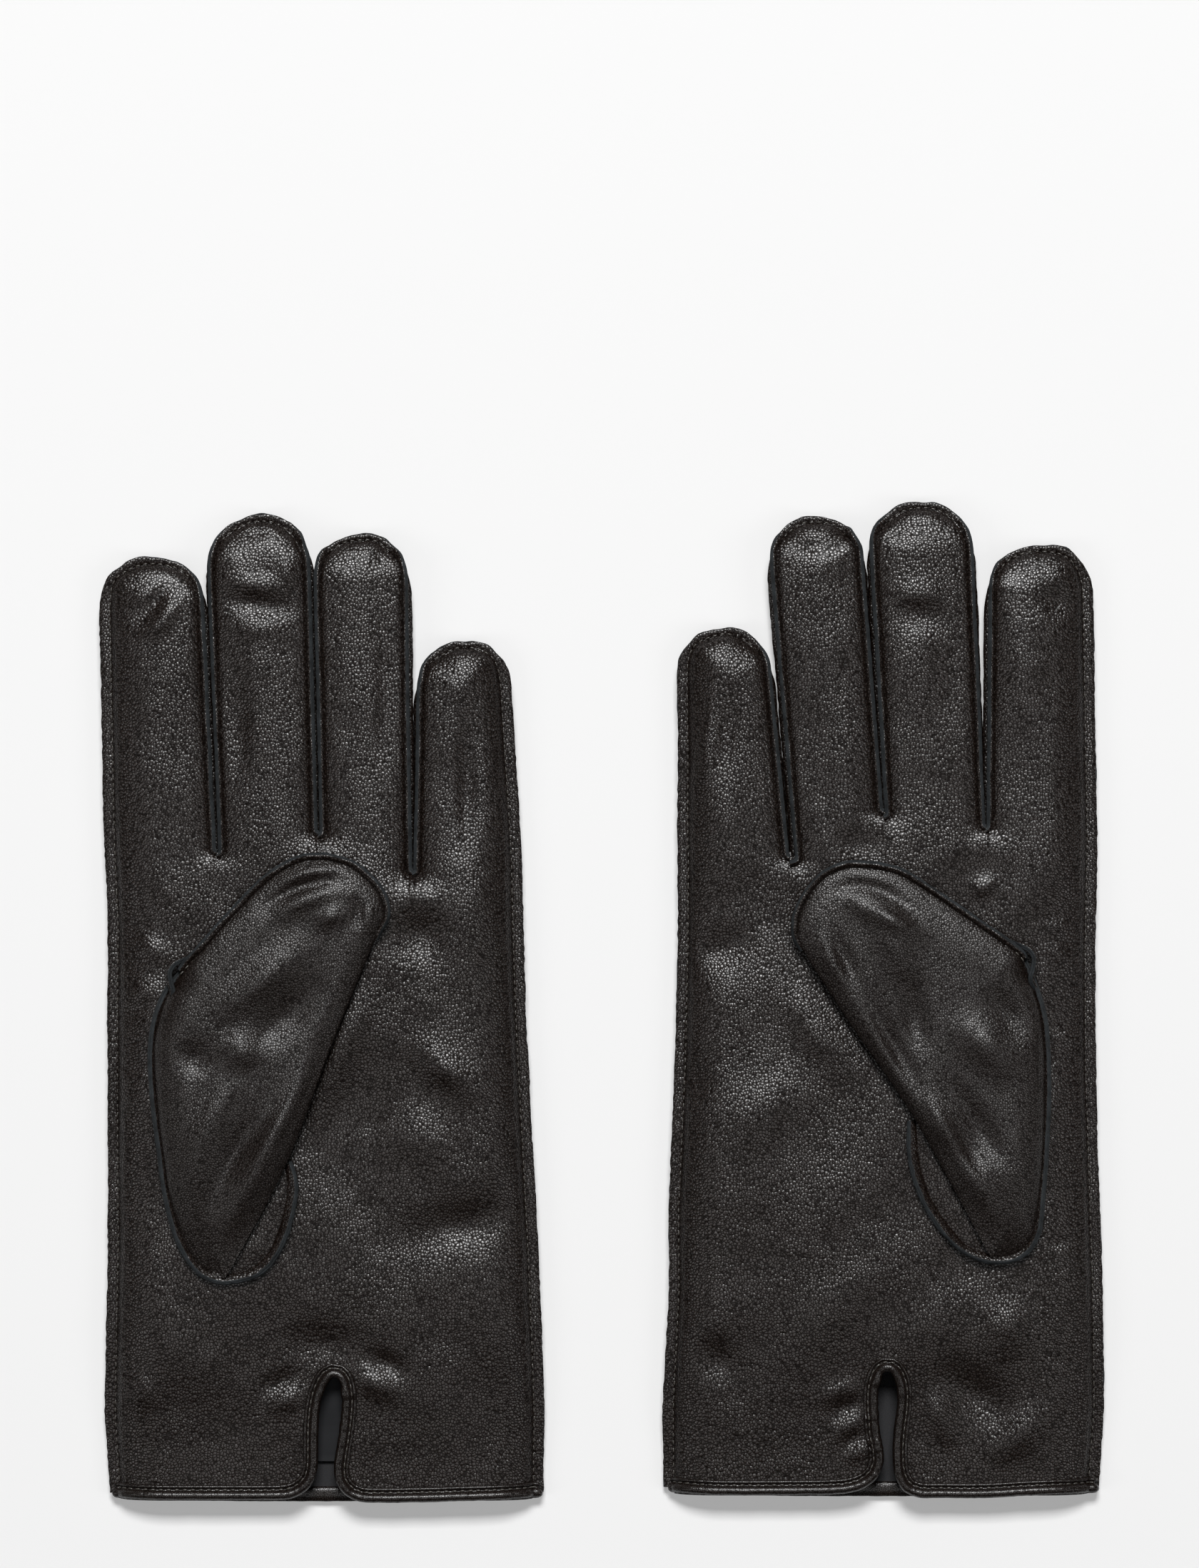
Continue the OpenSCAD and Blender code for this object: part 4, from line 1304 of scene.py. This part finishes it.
class Thumb:
    """A folded thumb: its edge lines, its heights and its mesh."""

    def __init__(self, glove):
        self.glove, shape = glove, THUMBS[glove.side]
        foot, self.quirk, apex = shape["foot"], shape["quirk"], shape["apex"]
        self.left = curve_through([foot, *shape["hole"], self.quirk, *shape["ridge"], apex], 0.5)
        self.right = curve_through([foot, *shape["fold"], *shape["round"], apex], 0.5)
        self.pleat = curve_through(shape["pleat"], 0.5)
        self.at_quirk = int(nearest(self.left, *np.array(self.quirk))[1])
        self.at_turn = int(nearest(self.right, *np.array(shape["round"][0]))[1])
        left = np.arange(len(self.left)) > self.at_quirk
        right = np.arange(len(self.right)) > self.at_turn - 10
        hole = np.column_stack([~left, left, 0 * left])
        fold = np.column_stack([0 * right, right, ~right])
        self.outline = np.vstack([self.left, self.right])
        # The kinds of edge run into one another over about a centimetre, right round the outline
        ring = np.vstack([hole, fold[::-1]]).astype(float)
        window = np.hanning(2 * MIX_REACH + 1)
        window /= window.sum()
        ring = np.vstack([ring[-MIX_REACH:], ring, ring[:MIX_REACH]])
        soft = np.stack([np.convolve(kind, window, "valid") for kind in ring.T], 1)
        self.mix = np.vstack([soft[:len(hole)], soft[len(hole):][::-1]])
        top = frame_joint(f"{glove.side}_thumb_lift")
        self.pin = glove.local(top["pos_m"])
        along = np.array([glove.flip * top["axis"][0], top["axis"][1]])
        along *= -np.sign(along[1])
        self.along = along / np.linalg.norm(along)
        self.across = np.array([-self.along[1], self.along[0]])

    def past_crease(self, points):
        """Distance of points past the crease, towards the thumb's tip."""
        return (points - self.pin[:2]) @ self.across

    def ribs(self, count):
        """Matching points up both edges, from the foot of the hole to the tip."""
        level = int(nearest(self.right, *(np.array(self.quirk) + RIB_SPAN))[1])
        middle = self.at_quirk / (len(self.left) - 1)
        edges = []
        for line, knot in ((self.left, self.at_quirk), (self.right, level)):
            where = np.interp(np.linspace(0, 1, count), [0, middle, 1], [0, knot, len(line) - 1])
            edges.append(np.stack([np.interp(where, np.arange(len(line)), line[:, k]) for k in (0, 1)], 1))
        return edges

    def tip_seam(self, extra):
        """The seam line from the quirk round the tip, and some points down the fold."""
        turn = self.right[::-1][1:len(self.right) - self.at_turn + extra]
        return resample(np.vstack([self.left[self.at_quirk:], turn]), step=PATH_STEP)

    def height(self, x, y, under=False):
        """Height of the thumb's upper leather, or of the leather under it."""
        away, which = nearest(self.outline, x, y)
        edge = self.mix[which] @ THUMB_EDGES
        if under:
            floor = hand_height(self.glove, self.glove.top, x, y) + 0.45
            t = np.clip(away / 4.5, 0, 1)
            dome = roll_off(t, 1)
            return floor * (1 - dome) + np.maximum(edge[..., 0], floor) * dome
        crown = THUMB_FOOT + (THUMB_CROWN - THUMB_FOOT) * smooth(y, 52, 84)
        crown = crown + strokes(THUMB_FOLDS[self.glove.side], x, y)
        crown = crown + 0.3 * patch(x, y, 22, 31 + self.glove.flip)
        crown = crown + 0.08 * patch(x, y, 6, 33)
        t = np.clip(away / edge[..., 1], 0, 1)
        dome = roll_off(t, 0.75)
        return crown * (1 - dome) + np.minimum(edge[..., 0], crown) * dome

    def sheet(self, ribs=190, columns=60, under=16):
        """Grid of the thumb's leather: over the top from the sewn edge to the fold, and back underneath."""
        left, right = self.ribs(ribs)
        k = np.linspace(0, 1, columns)
        share = 0.5 - 0.5 * np.cos(math.pi * k)
        share = (0.4 * k + 0.6 * share)[None, :, None]
        over = left[:, None] * (1 - share) + right[:, None] * share
        z = self.height(over[..., 0], over[..., 1])
        ahead = self.past_crease(left)
        behind = self.past_crease(right)
        # Share of each rib, from the fold, that the under leather covers
        reach = np.where(ahead > 0, 1.0, np.clip((behind - 1.0) / np.maximum(behind - ahead, 1e-3), 0, 1))
        width = np.linalg.norm(right - left, axis=1)
        reach = np.maximum(reach, np.clip(5.0 / np.maximum(width, 5.0), 0, 1))
        back = np.linspace(0, 1, under)[1:] ** 1.6
        back = 1 - back[None, :, None] * reach[:, None, None]
        below = left[:, None] * (1 - back) + right[:, None] * back
        low = self.height(below[..., 0], below[..., 1], under=True)
        low = np.minimum(low, self.height(below[..., 0], below[..., 1]) - 0.02)
        grid = np.concatenate([np.concatenate([over, z[..., None]], -1),
                               np.concatenate([below, low[..., None]], -1)], 1)
        return grid


def frame_joint(name):
    """A joint of the frame by name."""
    return next(j for j in frame["joints"] if j["name"] == name)


def bends_at_crease(piece, thumb, *nodes):
    """Hides the nodes that the piece stands for, and bakes the piece's place into its mesh."""
    glove = thumb.glove
    stands_for(nodes)
    ends = [tuple(glove.world([*(thumb.pin[:2] + thumb.across * d), thumb.pin[2]])) for d in THUMB_BEND]
    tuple(ends[0])
    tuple(ends[1])
    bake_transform(piece)


class GLOVES_OT_thumbs(bpy.types.Operator):
    """Make the folded thumbs, their sewn edges, their quirks and their linings"""
    bl_idname = "gloves.thumbs"
    bl_label = "Thumbs"

    def execute(self, context):
        for glove in gloves():
            thumb = Thumb(glove)
            side = glove.side
            grid = thumb.sheet()
            piece = new_piece(glove, f"{side}_thumb_leather", grid.reshape(-1, 3),
                              grid_faces(*grid.shape[:2]), ["thumb"], "leather")
            weld(piece)
            thicken(piece, SKIN)
            bends_at_crease(piece, thumb, f"{side}_thumb_base", f"{side}_thumb")
            self.lining(thumb)
            self.ridge(thumb)
            self.hole_edge(thumb)
            self.pleat(thumb)
            self.quirk(thumb)
        return {"FINISHED"}

    def lining(self, thumb):
        """Knitted lining inside the free part of the thumb."""
        grid = thumb.sheet(ribs=60, columns=20, under=20)[::-1]
        grid = grid[:34, 1:-1]
        centre = grid.mean(1, keepdims=True)
        inner = centre + (grid - centre) * [0.86, 0.9, 0.45]
        faces = grid_faces(*inner.shape[:2], around=True)
        piece = new_piece(thumb.glove, f"{thumb.glove.side}_thumb_lining_knit", inner.reshape(-1, 3),
                          [f[::-1] for f in faces], ["lining"], "lining")
        weld(piece)
        bends_at_crease(piece, thumb, f"{thumb.glove.side}_thumb_lining")

    def ridge(self, thumb):
        """Sewn edge from the quirk round the thumb's tip to where its fold begins."""
        line = thumb.tip_seam(14)
        s = np.arange(len(line)) * PATH_STEP
        z = np.interp(s, [0, 7, s[-1] - 6, s[-1]], [12.0, 13.8, 13.9, 12.8]) + 0.2 * wave(s, 9, 41)
        ends = np.interp(s, [0, 3, s[-1] - 8, s[-1]], [0.8, 1, 1, 0.4])
        piece = sewn_edge(thumb.glove, f"{thumb.glove.side}_thumb_outseam", np.column_stack([line, z]),
                          np.full(len(line), 40.0), 1.75 * ends, 400 + thumb.glove.flip)
        bends_at_crease(piece, thumb)

    def hole_edge(self, thumb):
        """Raw sewn edge round the thumb hole: down its outer side, round its foot and up to the pleat."""
        line = np.vstack([thumb.pleat[::-1], thumb.left[1:thumb.at_quirk + 4]])
        line = resample(curve_through(line[::6], 0.5), step=PATH_STEP)
        s = np.arange(len(line)) * PATH_STEP
        z = 11.0 + 0.15 * wave(s, 6, 43)
        length = s[-1]
        width = np.interp(s, [0, 6, 30, 45, length - 60, length - 8, length],
                          [1.6, 2.3, 2.4, 2.0, 1.4, 1.4, 0.8])
        tilt = np.interp(s, [0, 20, 45, length], [38, 45, 50, 58])
        side = thumb.glove.side
        piece = sewn_edge(thumb.glove, f"{side}_thumb_hole_edge", np.column_stack([line, z])[::-1],
                          -tilt[::-1] + 180, width[::-1], 430 + thumb.glove.flip)
        sits_on(piece, f"{side}_glove")

    def pleat(self, thumb):
        """Leather between the sewn edge at the lower inner side of the hole and the fold over it."""
        outer = resample(thumb.pleat, count=60)
        up = nearest(thumb.right, *outer[-1])[1]
        inner = resample(thumb.right[:int(up) + 1], count=60)
        inner = inner + [-3.5, 1.0]
        share = np.linspace(0, 1, 12)[None, :, None]
        flat = inner[:, None] * (1 - share) + outer[:, None] * share
        z = 11.1 + 0.5 * np.sin(share[..., 0] * math.pi) * smooth(np.arange(60), 0, 20)[:, None]
        z = z + 0.2 * patch(flat[..., 0], flat[..., 1], 4, 45)
        grid = np.concatenate([flat, z[..., None]], -1)
        piece = new_piece(thumb.glove, f"{thumb.glove.side}_thumb_pleat", grid.reshape(-1, 3),
                          grid_faces(*grid.shape[:2]), ["leather"], "leather")
        weld(piece)
        thicken(piece, SKIN)
        sits_on(piece, f"{thumb.glove.side}_glove")

    def quirk(self, thumb):
        """Small gusset folded into the top corner of the hole."""
        tip = np.array(thumb.quirk)
        # It curls out of the corner, away from the thumb, and comes back a little lower down
        loop = [(2.6, 4.4), (0.4, 3.6), (-2.0, 2.4), (-3.3, 0.2), (-3.0, -2.6), (-2.4, -5.4), (-3.4, -8.0)]
        line = curve_through([tip + step for step in loop], PATH_STEP)
        s = np.arange(len(line)) * PATH_STEP
        z = 11.3 + 1.5 * np.sin(s / s[-1] * math.pi)
        width = np.interp(s / s[-1], [0, 0.3, 0.8, 1], [1.0, 2.0, 1.6, 0.8])
        node = f"{thumb.glove.side}_thumb_quirk"
        piece = sewn_edge(thumb.glove, node + "_leather", np.column_stack([line, z]),
                          np.full(len(line), 75.0), width, 470)
        sits_on(piece, f"{thumb.glove.side}_glove", node)


# ---------------------------------------------------------------- stitches

STITCH_TURN = 0.12      # how far a stitch may turn out of line, in radians
STITCH_START = 3.4      # height up the glove at which the outseam's stitches leave the binding
THUMB_STITCH_Z = 13.95  # height of the stitches round the thumb's tip


def stitch_tree():
    """Geometry nodes: a short stitch at every pitch along the guide lines."""
    tree = bpy.data.node_groups.new("running_stitch", "GeometryNodeTree")
    face = tree.interface
    face.new_socket("Geometry", in_out="INPUT", socket_type="NodeSocketGeometry")
    for name, default in (("Pitch", size("stitch_pitch")), ("Length", size("stitch_length")),
                          ("Thread", size("thread"))):
        socket = face.new_socket(name, in_out="INPUT", socket_type="NodeSocketFloat")
        socket.subtype = "DISTANCE"
        socket.default_value = default * MM
    face.new_socket("Geometry", in_out="OUTPUT", socket_type="NodeSocketGeometry")
    given = add_node(tree, "NodeGroupInput").outputs
    curve = add_node(tree, "GeometryNodeMeshToCurve", {"Mesh": given["Geometry"]})
    even = add_node(tree, "GeometryNodeResampleCurve", {"Curve": curve.outputs["Curve"],
                                                        "Length": given["Pitch"]}, mode="LENGTH")
    ball = add_node(tree, "GeometryNodeMeshIcoSphere", {"Radius": 0.5, "Subdivisions": 2})
    shape = add_node(tree, "ShaderNodeCombineXYZ", {"X": given["Thread"], "Y": given["Thread"],
                                                    "Z": given["Length"]})
    tangent = add_node(tree, "GeometryNodeInputTangent")
    turn = add_node(tree, "FunctionNodeAlignRotationToVector", {"Vector": tangent.outputs["Tangent"]},
                    axis="Z")
    wobble = add_node(tree, "FunctionNodeRandomValue", {0: (-STITCH_TURN,) * 3, 1: (STITCH_TURN,) * 3,
                                                        "Seed": 7}, data_type="FLOAT_VECTOR")
    turn = add_node(tree, "FunctionNodeRotateRotation", {"Rotation": turn.outputs["Rotation"],
                                                         "Rotate By": wobble.outputs["Value"]})
    copies = add_node(tree, "GeometryNodeInstanceOnPoints", {
        "Points": even.outputs["Curve"], "Instance": ball.outputs["Mesh"],
        "Rotation": turn.outputs["Rotation"], "Scale": shape.outputs["Vector"]})
    real = add_node(tree, "GeometryNodeRealizeInstances", {"Geometry": copies.outputs["Instances"]})
    dyed = add_node(tree, "GeometryNodeSetMaterial", {"Geometry": real.outputs["Geometry"],
                                                      "Material": finish("thread")})
    add_node(tree, "NodeGroupOutput", {"Geometry": dyed.outputs["Geometry"]})
    return tree


def stitches(glove, name, lines, pitch=None):
    """Stitches along guide lines, as a plain mesh."""
    mesh = bpy.data.meshes.new(name + "_guide")
    points, edges = [], []
    for line in lines:
        edges += [(len(points) + k, len(points) + k + 1) for k in range(len(line) - 1)]
        points += glove.world(line).tolist()
    mesh.from_pydata(points, edges, [])
    guide = bpy.data.objects.new(name + "_guide", mesh)
    bpy.context.scene.collection.objects.link(guide)
    tree = bpy.data.node_groups.get("running_stitch") or stitch_tree()
    sewing = guide.modifiers.new("Stitches", "NODES")
    sewing.node_group = tree
    if pitch:
        socket = next(s for s in tree.interface.items_tree if s.name == "Pitch")
        sewing[socket.identifier] = pitch * MM
    made = bpy.data.meshes.new_from_object(guide.evaluated_get(bpy.context.evaluated_depsgraph_get()))
    made.polygons.foreach_set("use_smooth", [True] * len(made.polygons))
    bpy.data.objects.remove(guide)
    made.name = name
    piece = bpy.data.objects.new(name, made)
    bpy.context.scene.collection.objects.link(piece)
    piece["slot"] = "thread"
    return piece


def outseam_stitches(glove):
    """Stitches along every outseam: one piece on each finger, and one below the fingers."""
    low = []
    for finger, rows in zip(glove.fingers, glove.paths):
        t = directions(rows[:, :2])
        spots = rows[:, :2] + np.stack([-t[:, 1], t[:, 0]], 1) * 0.12
        line = np.column_stack([spots, glove.seam_top(rows[:, 2:], rows[:, 1]) + 0.05])
        palm = line[:, 1] < JOIN_Y
        starts = np.flatnonzero(np.diff(palm.astype(int))) + 1
        upper = []
        for part in np.split(np.arange(len(line)), starts):
            keep = part[line[part, 1] > STITCH_START]
            if len(keep) > 3:
                (low if palm[part[0]] else upper).append(line[keep])
        bends_at_root(stitches(glove, f"{glove.side}_{finger.name}_stitches", upper), finger)
    sits_on(stitches(glove, f"{glove.side}_side_stitches", low), f"{glove.side}_glove")


def cuff_stitches(glove):
    """Stitches along the groove of the binding, on the palm side and on the back."""
    line, across, normal, top = cuff_line(glove)
    spots = line + across * BAND_STITCH * size("binding") / BAND_WIDTH + normal * 0.36
    name = f"{glove.side}_cuff_stitches"
    hem = stitches(glove, name + "_thread", [spots[:top], spots[top + 8:-8]], HEM_PITCH)
    sits_on(hem, f"{glove.side}_glove", name)


def thumb_stitches(glove):
    """Stitches at the foot of the sewn edge round the thumb's tip."""
    thumb = Thumb(glove)
    line = thumb.tip_seam(6)
    t = directions(line)
    spots = line + np.stack([t[:, 1], -t[:, 0]], 1) * 0.2
    sewn = np.column_stack([spots, np.full(len(spots), THUMB_STITCH_Z)])
    bends_at_crease(stitches(glove, f"{glove.side}_thumb_stitches", [sewn]), thumb)


class GLOVES_OT_stitches(bpy.types.Operator):
    """Sew the outseams, the thumbs and the cuff bindings"""
    bl_idname = "gloves.stitches"
    bl_label = "Stitches"

    def execute(self, context):
        for glove in gloves():
            outseam_stitches(glove)
            cuff_stitches(glove)
            thumb_stitches(glove)
        return {"FINISHED"}


# ---------------------------------------------------------------- stage

FRAME_WIDTH = 302.4             # millimetres of the surface that the picture is wide
FRAME_CENTRE = (-1.5, 54.8)     # where its middle lies, in millimetres
CAMERA_HEIGHT = 1.5             # metres above that leather, looking straight down
PALM_Z = 0.008                  # height of the leather at which FRAME_WIDTH is measured, in metres
SENSOR = 36                     # millimetres
FLOOR_HALF = 3                  # metres
SKY = 0.065                     # strength of the even light from all round

# Soft boxes aimed at the gloves: place in metres, power in watts, width and height in metres.  The main
# one stands beyond the fingertips; weaker ones hang over the cuffs and stand on each side.
SOFT_BOXES = {
    "key_box": ((0.0, 2.2, 3.1), 182.0, 1.35, 0.95),
    "front_box": ((0.0, -0.7, 3.2), 9.0, 2.0, 1.2),
    "right_box": ((2.0, -0.6, 1.9), 9.0, 0.5, 1.5),
    "left_box": ((-2.0, -0.6, 1.9), 9.0, 0.5, 1.5),
}


def soft_box(name, place, power, width, height):
    """An area light aimed at the middle of the pair."""
    data = bpy.data.lights.new(name, "AREA")
    data.shape, data.size, data.size_y, data.energy = "RECTANGLE", width, height, power
    light = bpy.data.objects.new(name, data)
    bpy.context.scene.collection.objects.link(light)
    light.location = place
    light.rotation_euler = (-Vector(place)).to_track_quat("-Z", "Y").to_euler()


class GLOVES_OT_stage(bpy.types.Operator):
    """Set the camera, the lights and the pale floor"""
    bl_idname = "gloves.stage"
    bl_label = "Camera, Light and Floor"

    def execute(self, context):
        scene = context.scene
        camera = bpy.data.objects.new("camera", bpy.data.cameras.new("camera"))
        scene.collection.objects.link(camera)
        camera.data.sensor_fit = "HORIZONTAL"
        camera.data.sensor_width = SENSOR
        camera.data.lens = SENSOR * CAMERA_HEIGHT / (FRAME_WIDTH * MM)
        camera.data.clip_end = 20
        camera.location = (FRAME_CENTRE[0] * MM, FRAME_CENTRE[1] * MM, CAMERA_HEIGHT + PALM_Z)
        scene.camera = camera
        floor = bpy.data.meshes.new("floor")
        corners = [(x * FLOOR_HALF, y * FLOOR_HALF, 0) for x, y in ((-1, -1), (1, -1), (1, 1), (-1, 1))]
        floor.from_pydata(corners, [], [(0, 1, 2, 3)])
        floor.materials.append(paper_sweep())
        floor = bpy.data.objects.new("floor", floor)
        scene.collection.objects.link(floor)
        world = bpy.data.worlds.new("studio")
        world.use_nodes = True
        sky = world.node_tree.nodes["Background"].inputs
        sky["Color"].default_value = (1, 1, 1, 1)
        sky["Strength"].default_value = SKY
        scene.world = world
        for name, (place, power, width, height) in SOFT_BOXES.items():
            soft_box(name, place, power, width, height)
        scene.view_settings.view_transform = "Standard"
        return {"FINISHED"}


class GLOVES_PT_panel(bpy.types.Panel):
    """Lists the sizes, the colours and the steps"""
    bl_idname = "GLOVES_PT_panel"
    bl_label = "Leather Gloves"
    bl_space_type = "VIEW_3D"
    bl_region_type = "UI"
    bl_category = "Gloves"

    def draw(self, context):
        for group in (context.scene.glove_sizes, context.scene.glove_colours):
            for name in group.__annotations__:
                self.layout.prop(group, name)
        for step in STEPS:
            self.layout.operator(step.bl_idname)


STEPS = [GLOVES_OT_stage, GLOVES_OT_skins, GLOVES_OT_outseams, GLOVES_OT_fourchettes, GLOVES_OT_linings,
         GLOVES_OT_cuffs, GLOVES_OT_thumbs, GLOVES_OT_stitches]
CLASSES = [GloveSizes, GloveColours, *STEPS, GLOVES_PT_panel]


def register():
    """Registers the classes and the scene's settings."""
    for item in CLASSES:
        bpy.utils.register_class(item)
    bpy.types.Scene.glove_sizes = PointerProperty(type=GloveSizes)
    bpy.types.Scene.glove_colours = PointerProperty(type=GloveColours)


def unregister():
    """Removes the settings and the classes."""
    del bpy.types.Scene.glove_colours
    del bpy.types.Scene.glove_sizes
    for item in reversed(CLASSES):
        bpy.utils.unregister_class(item)


def main():
    register()
    for step in STEPS:
        group, name = step.bl_idname.split(".")
        getattr(getattr(bpy.ops, group), name)()


if __name__ == "__main__":
    main()
